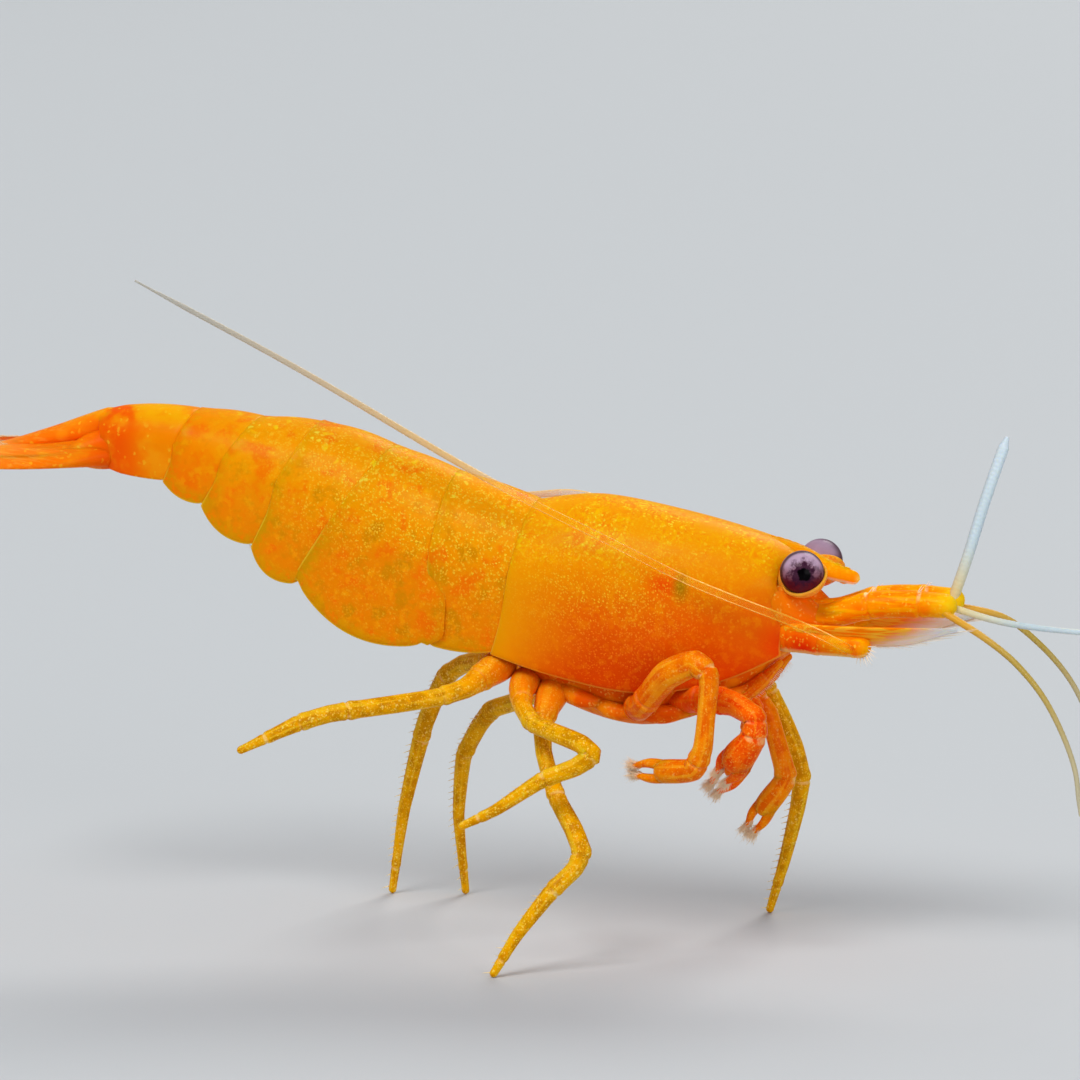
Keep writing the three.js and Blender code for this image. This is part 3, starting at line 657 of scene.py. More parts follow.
def build_tail_fan(material, bristle_lines):
    """The telson with its small side spines, and two pairs of ribbed blades with their fringes."""
    tip = oval_end(0.3)
    telson = Cast().add(*rod(TELSON_PATH, TELSON_HALF, TELSON_HEIGHT, around=28, spacing=0.05, swell=tip))
    for sign in (1, -1):
        for place in TELSON_SPINES:
            base = path_at(TELSON_PATH, place)
            wide = along(TELSON_HALF, place / (len(TELSON_PATH) - 1))
            root = base + (0, sign * wide * 0.72, 0.06)
            spine = [root, root + (-0.09, 0, 0.03), root + (-0.2, 0, 0.03)]
            telson.add(*rod(spine, (0.03, 0.025, 0.01), (0.03, 0.025, 0.01), around=8, spacing=0.04))
    settle(telson.piece("telson_blade", material), "tail", "telson")
    blade_bristles(TELSON_PATH, TELSON_HALF, (0, 1, 0), 0.9, bristle_lines, (0.25, 0.5))
    for side, sign in SIDES.items():
        lean = (0, 1, FAN_LEAN * sign)
        for kind, (points, halves, rib_place, rounding, bare) in UROPODS.items():
            path = mirror(points, sign)
            blade = Cast().add(*rod(path, halves, BLADE_HEIGHT, lean, 32, 0.05, swell=oval_end(rounding)))
            if kind == "outer":
                root = mirror(UROPOD_ROOT, sign)
                blade.add(*rod(root, UROPOD_ROOT_HALF, UROPOD_ROOT_HEIGHT, around=28, spacing=0.06))
            rib = mirror([np.array(p) + rib_place for p in points[:4]], sign)
            blade.add(*rod(rib, RIB_WIDTH, RIB_HEIGHT, around=12))
            settle(blade.piece(f"uropod_{kind}_blade_{side}", material), "tail", f"uropod_{kind}_{side}")
            blade_bristles(path, halves, lean, bare, bristle_lines, round_end=rounding)


# ---- swimming legs ------------------------------------------------------------------------
PLEOPOD_SIZES = (1.0, 1.0, 0.95, 0.8, 0.6)
PLEOPOD_BLADES = ((0.3, 0.78, 0.02), (-0.1, 0.66, 0.06))  # how far each tip lies out, back and up
PLEOPOD_LEAN = (0, 1, 0.3)


def build_pleopods(material, bristle_lines):
    """A pair of two-bladed swimming legs under each of the first five rings."""
    for index, scale in enumerate(PLEOPOD_SIZES):
        cast = Cast()
        for sign in (1, -1):
            half = ABDOMEN_LIMITS[index + 1][2] * 0.42
            limit = ring_limit(index, 0.42)
            top = down_the_line(limit, BELLY_LEVEL + 0.02)
            knee = down_the_line(ring_limit(index, 0.5), 0.95)
            slope = unit(np.array(ABDOMEN_LIMITS[index + 1][1]) - np.array(ABDOMEN_LIMITS[index][1]))
            root = np.array([top[0], sign * half * 0.8, top[1]])
            elbow = np.array([knee[0], sign * half, knee[1]])
            stem = [root, lerp(root, elbow, 0.5), elbow]
            cast.add(*rod(stem, (0.2, 0.22, 0.16), (0.15, 0.17, 0.12), (1, 0, 0)))
            rear = np.array([slope[0], 0, slope[1]]) * scale
            for out, back, rise in PLEOPOD_BLADES:
                tip = elbow + rear * back + (0, sign * out, rise)
                path = [elbow, lerp(elbow, tip, 0.5) + (0, sign * out * 0.1, -0.03), tip]
                halves = (0.1, 0.21 * scale, 0.08)
                cast.add(*rod(path, halves, (0.06, 0.05, 0.02), PLEOPOD_LEAN, around=14))
                blade_bristles(path, halves, PLEOPOD_LEAN, 0.35, bristle_lines, (0.14, 0.3))
        settle(cast.piece(f"swimming_legs_{index + 1}", material), "limb", f"pleopods_{index + 1}")


# ---- eyes ---------------------------------------------------------------------------------
EYE_FACING = unit(np.array([0.36, -0.92, 0.1]))  # the way the right cornea looks out of its cup
CUP_FACING = unit(np.array([0.2, 0.6, -0.77]))  # the way its cup holds it from behind and below
CUP_SPAN = math.radians(71)  # from the cup's middle to its rim
CUP_POLE = math.radians(176)  # where its rings stop short of the middle
CUP_ROWS = 22  # rings on each of its two faces
CUP_GAP = 0.02
CUP_THICKNESS = 0.07
CUP_CLEARANCE = 0.004  # between the cup's inside and the cornea
CUP_RIM_ROUND = math.radians(3)  # how far the rim bulges past its two faces
STALK_WIDTHS, STALK_HEIGHTS = (0.34, 0.4, 0.46), (0.32, 0.4, 0.46)


def ball_rings(centre, axis, radii, angles, around):
    """Rings of points round a centre, each with its own radius and its angle from the axis."""
    side = unit(np.cross(axis, (0, 0, 1)))
    up = np.cross(side, axis)
    points = []
    for radius, angle in zip(radii, angles):
        for turn in np.linspace(0, 2 * math.pi, around, endpoint=False):
            spoke = side * math.cos(turn) + up * math.sin(turn)
            points.append(centre + radius * (axis * math.cos(angle) + spoke * math.sin(angle)))
    return points


def build_eyes(cornea, stalk):
    """A glassy ball on each side, in the cup of its stalk."""
    for side, sign in SIDES.items():
        centre = EYE_CENTRE * (1, sign, 1)
        facing = EYE_FACING * (1, sign, 1)
        rings, around = 40, 48
        angles = np.linspace(0.05, math.pi - 0.05, rings)
        points = ball_rings(centre, unit(facing), [EYE_RADIUS] * rings, angles, around)
        points += [centre + facing * EYE_RADIUS, centre - facing * EYE_RADIUS]
        eye = Cast().add(points, ring_faces(rings, around), {"edge": np.ones(len(points))})
        settle(eye.piece(f"cornea_{side}", cornea), "eye", f"eye_{side}")
        settle(eye_cup(side, sign, centre, stalk), "stalk", f"eyestalk_{side}")


def eye_cup(side, sign, centre, material):
    """The stalk, which opens into a thin-rimmed cup round the back of the cornea."""
    facing = -CUP_FACING * (1, sign, 1)
    rim = math.pi - CUP_SPAN
    around = 48
    outside = EYE_RADIUS + CUP_GAP + CUP_THICKNESS
    inside = EYE_RADIUS + CUP_CLEARANCE
    radii = [outside] * CUP_ROWS + [inside] * CUP_ROWS + [EYE_RADIUS + (CUP_GAP + CUP_THICKNESS) * 0.5]
    angles = [*np.linspace(rim, CUP_POLE, CUP_ROWS), *np.linspace(CUP_POLE, rim, CUP_ROWS)]
    angles.append(rim - CUP_RIM_ROUND)
    points = ball_rings(centre, unit(facing), radii, angles, around)
    faces = []
    for i in range(len(radii)):
        if i != CUP_ROWS - 1:  # the two faces meet at the rim, and each closes on its own pole
            faces += band(i, (i + 1) % len(radii), around)
    faces += fan(len(points), CUP_ROWS - 1, around) + fan(len(points) + 1, CUP_ROWS, around, turned=True)
    points += [centre - facing * outside, centre - facing * inside]
    cast = Cast().add(points, faces, {"joint": np.zeros(len(points))})
    root = EYESTALK_ROOT * (1, sign, 1)
    behind = centre - facing * (EYE_RADIUS * 0.5)
    stalk = [root, lerp(root, behind, 0.6), behind]
    points, faces, _ = rod(stalk, STALK_WIDTHS, STALK_HEIGHTS, (0, 0, 1), around=28)
    return cast.add(points, faces, {"joint": np.zeros(len(points))}).piece(f"eye_cup_{side}", material)


# ---- antennules, antennal scales and antennae -----------------------------------------------
ANTENNULE_PATH = [
    (6.7, -0.5, 9.5), (8.15, -0.53, 9.42), (9.4, -0.55, 9.76), (10.5, -0.55, 9.84), (11.45, -0.55, 9.83),
]
ANTENNULE_HEIGHT = (0.34, 0.34, 0.37, 0.37, 0.33)
ANTENNULE_WIDTH = (0.42, 0.42, 0.4, 0.37, 0.33)
ANTENNULE_JOINTS = (2.72, 4.12)  # millimetres along the path
SPUR_PATH = [(7.6, -0.62, 9.42), (8.2, -0.84, 9.5), (8.8, -0.9, 9.63)]
SCALE_PATH = [(7.15, -0.86, 9.0), (8.6, -1.4, 9.04), (10.4, -1.46, 9.08), (11.9, -1.3, 9.3)]
SCALE_HALF = (0.3, 0.5, 0.52, 0.12)
SCALE_HEIGHT = (0.22, 0.13, 0.08, 0.03)
SCALE_LEAN = -0.72  # how far the blade's inner edge hangs down, of its width
ANTENNA_PATH = [(6.3, -0.45, 8.92), (8.05, -1.2, 8.86), (9.33, -1.58, 8.78)]
ANTENNA_HALF = (0.3, 0.38, 0.31)
ANTENNA_HEIGHT = (0.46, 0.4, 0.31)
ANTENNA_JOINTS = (1.1, 2.1)


JOINT_STEPS = (-0.12, -0.07, -0.035, -0.015, 0, 0.015, 0.035, 0.07, 0.12)  # finer rings round a joint


class Joints:
    """Swell of a limb: each length flares to its far end, pinches at the joint and starts slim."""

    def __init__(self, places, flare=0.14, pinch=0.26, root=0.0):
        self.places, self.flare, self.pinch, self.root = places, flare, pinch, root
        self.stops = [place + step for place in places for step in JOINT_STEPS]

    def __call__(self, run, total):
        factor = 1 + self.root * bell(run, 0.2, 1.0)
        for place in self.places:
            factor += self.flare * bell(run, place - 0.13, 0.12) * (run < place + 0.2)
            factor -= self.pinch * bell(run, place, 0.035)
            factor += 0.4 * self.flare * bell(run, place + 0.09, 0.06)
        return float(factor)

    def marks(self, runs):
        runs = np.asarray(runs)
        return sum(bell(runs, place, 0.1) for place in self.places) if self.places else runs * 0


def limb(path, widths, heights, joints, **options):
    """A jointed limb as one closed body, marked where its joints are."""
    points, faces, marks = rod(path, widths, heights, swell=joints, **options)
    marks["joint"] = joints.marks(marks["run"])
    return points, faces, marks


def build_head_limbs(material, blade_material, bristle_lines, tuft_lines):
    """Feeler stems and scales, with lines for the scales' fringes and for tufts at the joints."""
    for side, sign in SIDES.items():
        stem = mirror(ANTENNULE_PATH, sign)
        joints = Joints(ANTENNULE_JOINTS, 0.05, 0.07)
        cast = Cast().add(*limb(stem, ANTENNULE_WIDTH, ANTENNULE_HEIGHT, joints, around=32, spacing=0.06))
        cast.add(*limb(mirror(SPUR_PATH, sign), (0.12, 0.1, 0.02), (0.14, 0.1, 0.02), Joints(()), around=14))
        settle(cast.piece(f"antennule_stem_{side}", material), "stalk", f"antennule_{side}")

        path, lean = mirror(SCALE_PATH, sign), (0, 1, SCALE_LEAN * sign)
        body = limb(path, SCALE_HALF, SCALE_HEIGHT, Joints(()), across=lean, around=32, spacing=0.06)
        cast = Cast().add(*body)
        settle(cast.piece(f"antennal_scale_blade_{side}", blade_material), "stalk", f"antennal_scale_{side}")
        blade_bristles(path, SCALE_HALF, (0, sign, SCALE_LEAN), 0.45, bristle_lines, (0.35, 0.75), both=False)

        path = mirror(ANTENNA_PATH, sign)
        joints = Joints(ANTENNA_JOINTS, 0.05, 0.07)
        cast = Cast().add(*limb(path, ANTENNA_HALF, ANTENNA_HEIGHT, joints, around=28, spacing=0.06))
        settle(cast.piece(f"antenna_stem_{side}", material), "stalk", f"antenna_{side}")
        ahead = unit(path_at(path, 2) - path_at(path, 1.8))
        for turn in np.linspace(0.2, -1.75, 7):
            way = ahead * math.cos(turn) + np.array([0, -0.25 * sign, math.sin(turn)])
            root = path[-1] + way * 0.27
            tuft_lines.append([(root, way * 0.3), (root + np.array([0.07, 0, 0]), way * 0.26)])
        for place in (1.95, 3.2):
            top = path_at(stem, place) + (0, 0, 0.34)
            leans = np.array([0.12, 0, 0.2]), np.array([0.14, 0, 0.17])
            tuft_lines.append([(top, leans[0]), (top + (0.05, 0, 0), leans[1])])


# ---- whips: the long many-ringed ends of the feelers ----------------------------------------
ANTENNULE_WHIPS = {
    "right_upper": [(11.5, -0.36, 9.78), (13.0, -0.5, 9.44), (15.2, -1.2, 9.36), (17.4, -1.8, 9.42)],
    "right_lower": [(11.45, -0.74, 9.68), (12.7, -1.15, 9.05), (13.6, -1.5, 8.45), (14.5, -1.9, 7.5),
                    (15.3, -2.25, 5.9), (15.5, -2.4, 4.6)],
    "left_upper": [(11.45, 0.36, 9.78), (11.8, 0.55, 10.9), (12.2, 1.1, 12.5), (12.7, 1.6, 14.2)],
    "left_lower": [(11.45, 0.74, 9.66), (12.7, 1.3, 9.3), (13.5, 1.7, 8.65), (14.4, 2.2, 7.5),
                   (15.2, 2.6, 5.7)],
}
ANTENNA_WHIPS = {
    "right": [(9.2, -1.75, 8.62), (9.1, -2.1, 8.8), (8.0, -2.2, 9.33), (5.9, -2.36, 10.1),
              (4.65, -2.42, 10.58), (2.8, -2.42, 11.42), (0.1, -2.25, 12.6), (-1.6, -2.1, 13.4),
              (-6.2, -2.4, 15.95), (-10.65, -3.0, 18.3)],
    "left": [(9.2, 1.75, 8.62), (9.1, 2.1, 8.75), (8.0, 2.35, 9.0), (5.9, 2.5, 9.75), (3.2, 2.5, 11.1),
             (0.6, 2.45, 12.1), (-1.4, 2.6, 12.0), (-4.5, 2.9, 12.2), (-8.0, 3.1, 12.9), (-11.2, 3.2, 13.1)],
}


def line_object(lines):
    """Lines of (point, lean) pairs, in millimetres, as edges that carry their lean and their row."""
    points, leans, rows, edges = [], [], [], []
    for row, line in enumerate(lines):
        start = len(points)
        points += [point for point, _ in line]
        leans += [lean for _, lean in line]
        rows += [(row + 0.5) / (len(lines) + 1)] * len(line)
        edges += [(start + k, start + k + 1) for k in range(len(line) - 1)]
    mesh = bpy.data.meshes.new("lines")
    mesh.from_pydata(((np.array(points) + SHIFT) * MM).tolist(), edges, [])
    leans = (np.array(leans, np.float32) * MM).reshape(-1)
    mesh.attributes.new("lean", "FLOAT_VECTOR", "POINT").data.foreach_set("vector", leans)
    mesh.attributes.new("row", "FLOAT", "POINT").data.foreach_set("value", rows)
    return placed("lines", mesh)


FLOAT, VECTOR = "NodeSocketFloat", "NodeSocketVector"


class Nodes:
    """Nodes of any tree, added one by one. An input's value is a number, a tuple or a socket."""

    def __init__(self, tree):
        self.tree = tree

    def node(self, kind, inputs=None, **settings):
        """Adds a node, sets it up and gives it its inputs by name or number."""
        made = self.tree.nodes.new(kind)
        for key, value in settings.items():
            setattr(made, key, value)
        for key, value in (inputs or {}).items():
            if isinstance(value, bpy.types.NodeSocket):
                self.tree.links.new(value, made.inputs[key])
            else:
                made.inputs[key].default_value = value
        return made

    def math(self, operation, *values):
        three = (*values, 0.0, 0.0)[:3]
        return self.node("ShaderNodeMath", dict(enumerate(three)), operation=operation).outputs[0]

    def vector(self, operation, *values):
        outputs = self.node("ShaderNodeVectorMath", dict(enumerate(values)), operation=operation).outputs
        return outputs["Value" if operation in ("LENGTH", "DOT_PRODUCT") else "Vector"]

    def combined(self, x, y, z):
        return self.node("ShaderNodeCombineXYZ", {"X": x, "Y": y, "Z": z}).outputs["Vector"]

    def parts(self, vector):
        return self.node("ShaderNodeSeparateXYZ", {"Vector": vector}).outputs

    def times(self, *values):
        result = values[0]
        for value in values[1:]:
            result = self.math("MULTIPLY", result, value)
        return result

    def step(self, value, low, high, to_low=0.0, to_high=1.0):
        """A smooth step from to_low to to_high, as the value goes from low to high."""
        inputs = {"Value": value, "From Min": low, "From Max": high, "To Min": to_low, "To Max": to_high}
        return self.node("ShaderNodeMapRange", inputs, interpolation_type="SMOOTHSTEP").outputs["Result"]


class Tree(Nodes):
    """A geometry node tree with named inputs, which ends in real geometry and its material."""

    def __init__(self, name, **inputs):
        super().__init__(bpy.data.node_groups.new(name, "GeometryNodeTree"))
        face = self.tree.interface
        face.new_socket("Geometry", in_out="OUTPUT", socket_type="NodeSocketGeometry")
        given = {"Geometry": "NodeSocketGeometry", "Material": "NodeSocketMaterial", **inputs}
        for title, kind in given.items():
            face.new_socket(title, in_out="INPUT", socket_type=kind)
        self.given = self.node("NodeGroupInput").outputs

    def resampled(self, length):
        """The given lines as curves with evenly spaced points."""
        curve = self.node("GeometryNodeMeshToCurve", {"Mesh": self.given["Geometry"]}).outputs["Curve"]
        inputs = {"Curve": curve, "Length": length}
        return self.node("GeometryNodeResampleCurve", inputs, mode="LENGTH").outputs["Curve"]

    def named(self, name, kind="FLOAT_VECTOR"):
        return self.node("GeometryNodeInputNamedAttribute", {"Name": name}, data_type=kind).outputs[0]

    def stored(self, geometry, name, value, kind="FLOAT", domain="POINT"):
        inputs = {"Geometry": geometry, "Name": name, "Value": value}
        return self.node("GeometryNodeStoreNamedAttribute", inputs, data_type=kind, domain=domain).outputs[0]

    def real(self, geometry):
        return self.node("GeometryNodeRealizeInstances", {"Geometry": geometry}).outputs["Geometry"]

    def finish(self, geometry):
        inputs = {"Geometry": geometry, "Material": self.given["Material"]}
        coloured = self.node("GeometryNodeSetMaterial", inputs).outputs["Geometry"]
        self.node("NodeGroupOutput", {"Geometry": coloured})
        return self.tree


HAIR_PATCH = 0.003  # how wide one hair's patch is on the map that its colours are kept on


def bristle_tree():
    """Fine hairs along lines, each leaning and as long as the line's lean says.

    Their UV map lays every hair at its root's place: across for the way along its line, and up
    for the line's row.
    """
    build = Tree("bristles", Spacing=FLOAT, Thickness=FLOAT, Variation=FLOAT, Looseness=FLOAT,
                 Seed="NodeSocketInt")
    given = build.given
    straight = build.named("lean")
    stray = build.node("FunctionNodeRandomValue", {0: (-1, -1, -1), 1: (1, 1, 1), "Seed": given["Seed"]},
                       data_type="FLOAT_VECTOR").outputs[0]
    loose = build.math("MULTIPLY", given["Looseness"], build.vector("LENGTH", straight))
    lean = build.vector("MULTIPLY_ADD", stray, loose, straight)
    along_line = build.node("GeometryNodeSplineParameter").outputs["Factor"]
    root = build.combined(build.math("MULTIPLY", along_line, 0.99), build.named("row", "FLOAT"), 0.0)
    rooted = build.stored(build.resampled(given["Spacing"]), "root", root, "FLOAT_VECTOR")
    hair = build.node("GeometryNodeMeshCone", {
        "Vertices": 5, "Side Segments": 3, "Radius Top": 0.12, "Radius Bottom": 1.0, "Depth": 1.0,
    }).outputs
    patched = build.stored(hair["Mesh"], "patch", hair["UV Map"], "FLOAT_VECTOR", "CORNER")
    upright = build.node("FunctionNodeAlignEulerToVector", {"Vector": lean}, axis="Z").outputs["Rotation"]
    shortest = build.math("SUBTRACT", 1.0, given["Variation"])
    vary = build.node("FunctionNodeRandomValue", {"Min": shortest, "Max": 1.0, "Seed": given["Seed"]},
                      data_type="FLOAT").outputs["Value"]
    long = build.math("MULTIPLY", build.vector("LENGTH", lean), vary)
    hairs = build.node("GeometryNodeInstanceOnPoints", {
        "Points": rooted, "Instance": patched, "Rotation": upright,
        "Scale": build.combined(given["Thickness"], given["Thickness"], long),
    }).outputs["Instances"]
    spots = build.vector("MULTIPLY_ADD", build.named("patch"), (HAIR_PATCH,) * 3, build.named("root"))
    return build.finish(build.stored(build.real(hairs), "OFBake", spots, "FLOAT2", "CORNER"))


def whip_tree():
    """A tapering tube along a line, ringed like a string of short beads."""
    build = Tree("ringed_whip", Base=FLOAT, Tip=FLOAT, Bead=FLOAT, Depth=FLOAT)
    given = build.given
    spaced = build.resampled(build.math("DIVIDE", given["Bead"], 5.0))
    place = build.node("GeometryNodeSplineParameter").outputs
    taper = build.node("ShaderNodeMapRange", {
        "Value": place["Factor"], "To Min": given["Base"], "To Max": given["Tip"],
    }).outputs["Result"]
    turns = build.math("MULTIPLY", build.math("DIVIDE", place["Length"], given["Bead"]), 2 * math.pi)
    ripple = build.math("MULTIPLY", build.math("SINE", turns), given["Depth"])
    point = build.step(place["Factor"], 0.92, 1.0, 1.0, 0.4)
    radius = build.math("MULTIPLY", build.math("MULTIPLY", taper, point), build.math("ADD", ripple, 1.0))
    sized = build.node("GeometryNodeSetCurveRadius", {"Curve": spaced, "Radius": radius}).outputs["Curve"]
    circle = build.node("GeometryNodeCurvePrimitiveCircle", {"Resolution": 10, "Radius": 1.0})
    tube = build.node("GeometryNodeCurveToMesh", {
        "Curve": build.stored(sized, "reach", place["Factor"]), "Profile Curve": circle.outputs["Curve"],
        "Scale": radius, "Fill Caps": True,
    }).outputs["Mesh"]
    facing = build.parts(build.node("GeometryNodeInputNormal").outputs["Normal"])
    return build.finish(build.stored(build.real(tube), "wall", build.math("ABSOLUTE", facing["Z"])))


def grown(name, tree, lines, values):
    """Runs a geometry node tree over lines and returns the result as a plain closed piece."""
    source = line_object(lines)
    modifier = source.modifiers.new("grow", "NODES")
    modifier.node_group = tree
    for item in tree.interface.items_tree:
        if item.in_out == "INPUT" and item.name in values:  # the Geometry input isn't among them
            modifier[item.identifier] = values[item.name]
    evaluated = source.evaluated_get(bpy.context.evaluated_depsgraph_get())
    mesh = bpy.data.meshes.new_from_object(evaluated)
    mesh.name = name
    source.modifiers.remove(modifier)
    bpy.data.objects.remove(source)
    return finished(name, mesh, values["Material"])


WHIP_TREE = whip_tree()
WHIP_STEP = 0.05  # between the points of a whip's line, in path points


def path_line(path):
    """A smooth path as a fine line without lean."""
    places = np.arange(0, len(path) - 1 + WHIP_STEP / 2, WHIP_STEP)
    return [(path_at(path, min(place, len(path) - 1)), np.zeros(3)) for place in places]


def whip(name, path, material, *nodes, **sizes):
    """One whip: Base and Tip are half thicknesses, Bead a ring's length, Depth its share of ripple."""
    values = {key: size if key == "Depth" else size * MM for key, size in sizes.items()}
    grown_whip = grown(name, WHIP_TREE, [path_line(path)], {**values, "Material": material})
    settle(grown_whip, "feeler", *nodes)


def build_whips(materials):
    """Two short whips on each first feeler, one of them stout and pale, and one long one on each second."""
    for name, path in ANTENNULE_WHIPS.items():
        base, tip = (0.15, 0.15 * 1.05) if name == "left_upper" else (0.1, 0.1 * 0.65)
        material = materials["pale" if name.endswith("upper") else "amber"]
        whip(f"antennule_feeler_{name}", path, material, f"antennule_whip_{name}",
             Base=base, Tip=tip, Bead=0.13, Depth=0.025)
    for side, path in ANTENNA_WHIPS.items():
        nodes = (f"antenna_whip_{side}_base", f"antenna_whip_{side}_tip")
        whip(f"antenna_feeler_{side}", path, materials[f"long_{side}"], *nodes,
             Base=0.13, Tip=0.07, Bead=0.16, Depth=0.012)


# ---- walking legs, claw legs and jaw legs ----------------------------------------------------
LEGS = {  # path from inside the body to the tip, half thickness at its points, joints in path points
    "walking_leg_3_right": (
        [(0.6, -0.7, 7.1), (0.6, -1.5, 6.75), (0.6, -1.95, 6.3), (0.75, -2.4, 5.65), (1.35, -3.3, 4.6),
         (1.98, -3.85, 3.82), (2.28, -4.2, 3.3), (2.16, -4.4, 2.9), (1.59, -4.7, 2.3), (0.73, -5.1, 1.13),
         (0.1, -5.45, 0)],
        (0.36, 0.32, 0.26, 0.23, 0.24, 0.26, 0.26, 0.24, 0.22, 0.17, 0.11), (1.7, 4.0, 6.3, 8.0, 9.6)),
    "walking_leg_3_left": (
        [(0.9, 0.7, 7.0), (2.4, 1.9, 7.1), (4.3, 2.9, 7.2), (5.5, 3.25, 6.95), (6.0, 3.5, 6.0),
         (6.35, 3.85, 5.0), (6.5, 4.1, 4.1), (6.35, 4.3, 3.2), (5.9, 4.7, 1.6), (5.4, 4.9, 0)],
        (0.34, 0.3, 0.27, 0.27, 0.26, 0.25, 0.25, 0.22, 0.17, 0.11), (0.6, 1.3, 3.4, 6.1, 8.5)),
    "walking_leg_4_right": (
        [(-0.2, -0.75, 7.3), (-0.1, -1.6, 7.2), (0.1, -2.25, 6.9), (0.6, -3.0, 6.55), (2.25, -4.0, 6.2),
         (2.54, -4.17, 5.95), (2.15, -4.3, 5.64), (1.3, -4.45, 5.3), (0.0, -4.7, 4.42), (-0.85, -4.9, 4.0)],
        (0.34, 0.3, 0.26, 0.25, 0.26, 0.27, 0.25, 0.22, 0.16, 0.11), (1.7, 3.0, 5.2, 7.0, 8.5)),
    "walking_leg_4_left": (
        [(-0.2, 0.75, 7.3), (-0.6, 1.8, 6.6), (-1.6, 2.9, 6.05), (-2.3, 3.4, 5.75), (-2.8, 3.8, 5.2),
         (-3.4, 4.3, 4.2), (-3.7, 4.8, 2.4), (-3.6, 5.2, 0)],
        (0.34, 0.3, 0.26, 0.26, 0.25, 0.23, 0.17, 0.11), (0.7, 1.2, 3.3, 4.9, 6.7)),
    "walking_leg_5_right": (
        [(-0.9, -0.75, 7.75), (-1.1, -1.6, 7.6), (-1.5, -2.3, 7.3), (-2.1, -2.85, 7.12), (-3.0, -3.55, 7.02),
         (-4.65, -4.6, 6.84), (-5.4, -5.0, 6.62), (-6.8, -5.8, 5.95)],
        (0.36, 0.34, 0.28, 0.25, 0.25, 0.24, 0.22, 0.11), (1.4, 2.9, 4.75, 6.0, 6.6)),
    "walking_leg_5_left": (
        [(-0.9, 0.75, 7.75), (-1.7, 1.7, 7.5), (-3.0, 2.8, 7.1), (-3.65, 3.25, 6.65), (-4.4, 3.8, 5.2),
         (-5.2, 4.4, 2.6), (-5.7, 4.8, 0)],
        (0.36, 0.3, 0.27, 0.26, 0.25, 0.18, 0.11), (0.6, 1.2, 2.9, 4.2, 5.7)),
    "claw_leg_1_right": (
        [(4.1, -0.7, 7.0), (5.2, -1.6, 7.2), (6.0, -2.05, 7.15), (6.65, -2.45, 6.85), (6.62, -2.46, 6.35),
         (6.15, -2.2, 5.75), (5.6, -1.9, 5.15)],
        (0.34, 0.36, 0.34, 0.3, 0.34, 0.44, 0.3), (0.8, 1.6, 3.15, 3.95)),
    "claw_leg_1_left": (
        [(4.1, 0.7, 7.0), (5.0, 1.3, 6.9), (5.6, 1.6, 6.45), (5.66, 1.65, 5.7), (5.15, 1.6, 4.7),
         (4.6, 1.5, 4.2)],
        (0.34, 0.34, 0.32, 0.34, 0.4, 0.26), (0.6, 1.2, 2.2, 2.9)),
    "claw_leg_2_right": (
        [(2.9, -0.8, 6.75), (3.35, -1.9, 6.95), (4.3, -2.75, 8.0), (5.15, -3.1, 8.4), (5.55, -3.25, 8.1),
         (5.5, -3.3, 7.0), (5.4, -3.3, 6.1), (5.1, -3.08, 5.5), (4.2, -2.6, 5.32), (3.25, -2.1, 5.25)],
        (0.3, 0.33, 0.4, 0.35, 0.28, 0.25, 0.27, 0.31, 0.33, 0.24), (0.7, 1.3, 3.8, 6.6)),
    "claw_leg_2_left": (
        [(2.7, 0.8, 6.9), (4.0, 2.2, 7.0), (5.3, 2.4, 6.85), (5.9, 2.42, 6.2), (6.2, 2.45, 5.2),
         (6.4, 2.5, 4.34), (5.92, 2.4, 3.63), (5.44, 2.3, 2.92)],
        (0.3, 0.27, 0.27, 0.26, 0.27, 0.3, 0.33, 0.24), (0.6, 1.2, 2.6, 5.0)),
}
LEG_ACROSS = (0.2, 1, -0.3)
LEG_STRAIGHT = 0.55  # how far a leg keeps to the straight lines between its path points
FINGERS_FROM = {  # where each claw leg splits into its fingers, in path points
    "claw_leg_1_right": 5.1, "claw_leg_1_left": 3.9, "claw_leg_2_right": 8.0, "claw_leg_2_left": 6.1,
}
SPINES_BACK = np.array([-0.9, 0.0, -0.45])  # the way that a leg's spines stand out
JAW_LEG = [(4.9, -0.35, 6.95), (5.6, -0.55, 7.05), (6.3, -0.58, 7.48), (6.9, -0.55, 8.08)]
JAW_THICK = (0.3, 0.27, 0.22, 0.1)
BRUSH_HAIRS = 34  # lines of hairs round each finger's end
BRUSH_LENGTH = 0.34


def run_at(path, place, straight=0.0):
    """Millimetres along a path up to a place counted in path points."""
    trail = np.array([bent_at(path, t, straight) for t in np.linspace(0, place, int(40 * place) + 2)])
    return float(np.sum(np.linalg.norm(np.diff(trail, axis=0), axis=1)))


def standing_end(path, radius):
    """Where a leg's path has come down to the radius of its round tip, in path points."""
    last = len(path) - 1
    for place in np.linspace(last, last - 0.5, 100):
        if bent_at(path, place, LEG_STRAIGHT)[2] >= radius:
            return place
    return last


def leg_spines(path, thick, places, lines):
    """Short spines down the rear edge of a leg's last three lengths."""
    for low, high in zip(places[2:], [*places[3:], len(path) - 1]):
        line = []
        for place in np.linspace(low + 0.08, high - 0.08, 7):
            ahead = unit(path_at(path, place + 0.02) - path_at(path, place - 0.02))
            side = unit(SPINES_BACK - ahead * np.dot(SPINES_BACK, ahead))
            root = bent_at(path, place, LEG_STRAIGHT) + side * (along(thick, place / (len(path) - 1)) * 0.85)
            line.append((root, unit(side + ahead * 0.6) * 0.24))
        lines.append(line)


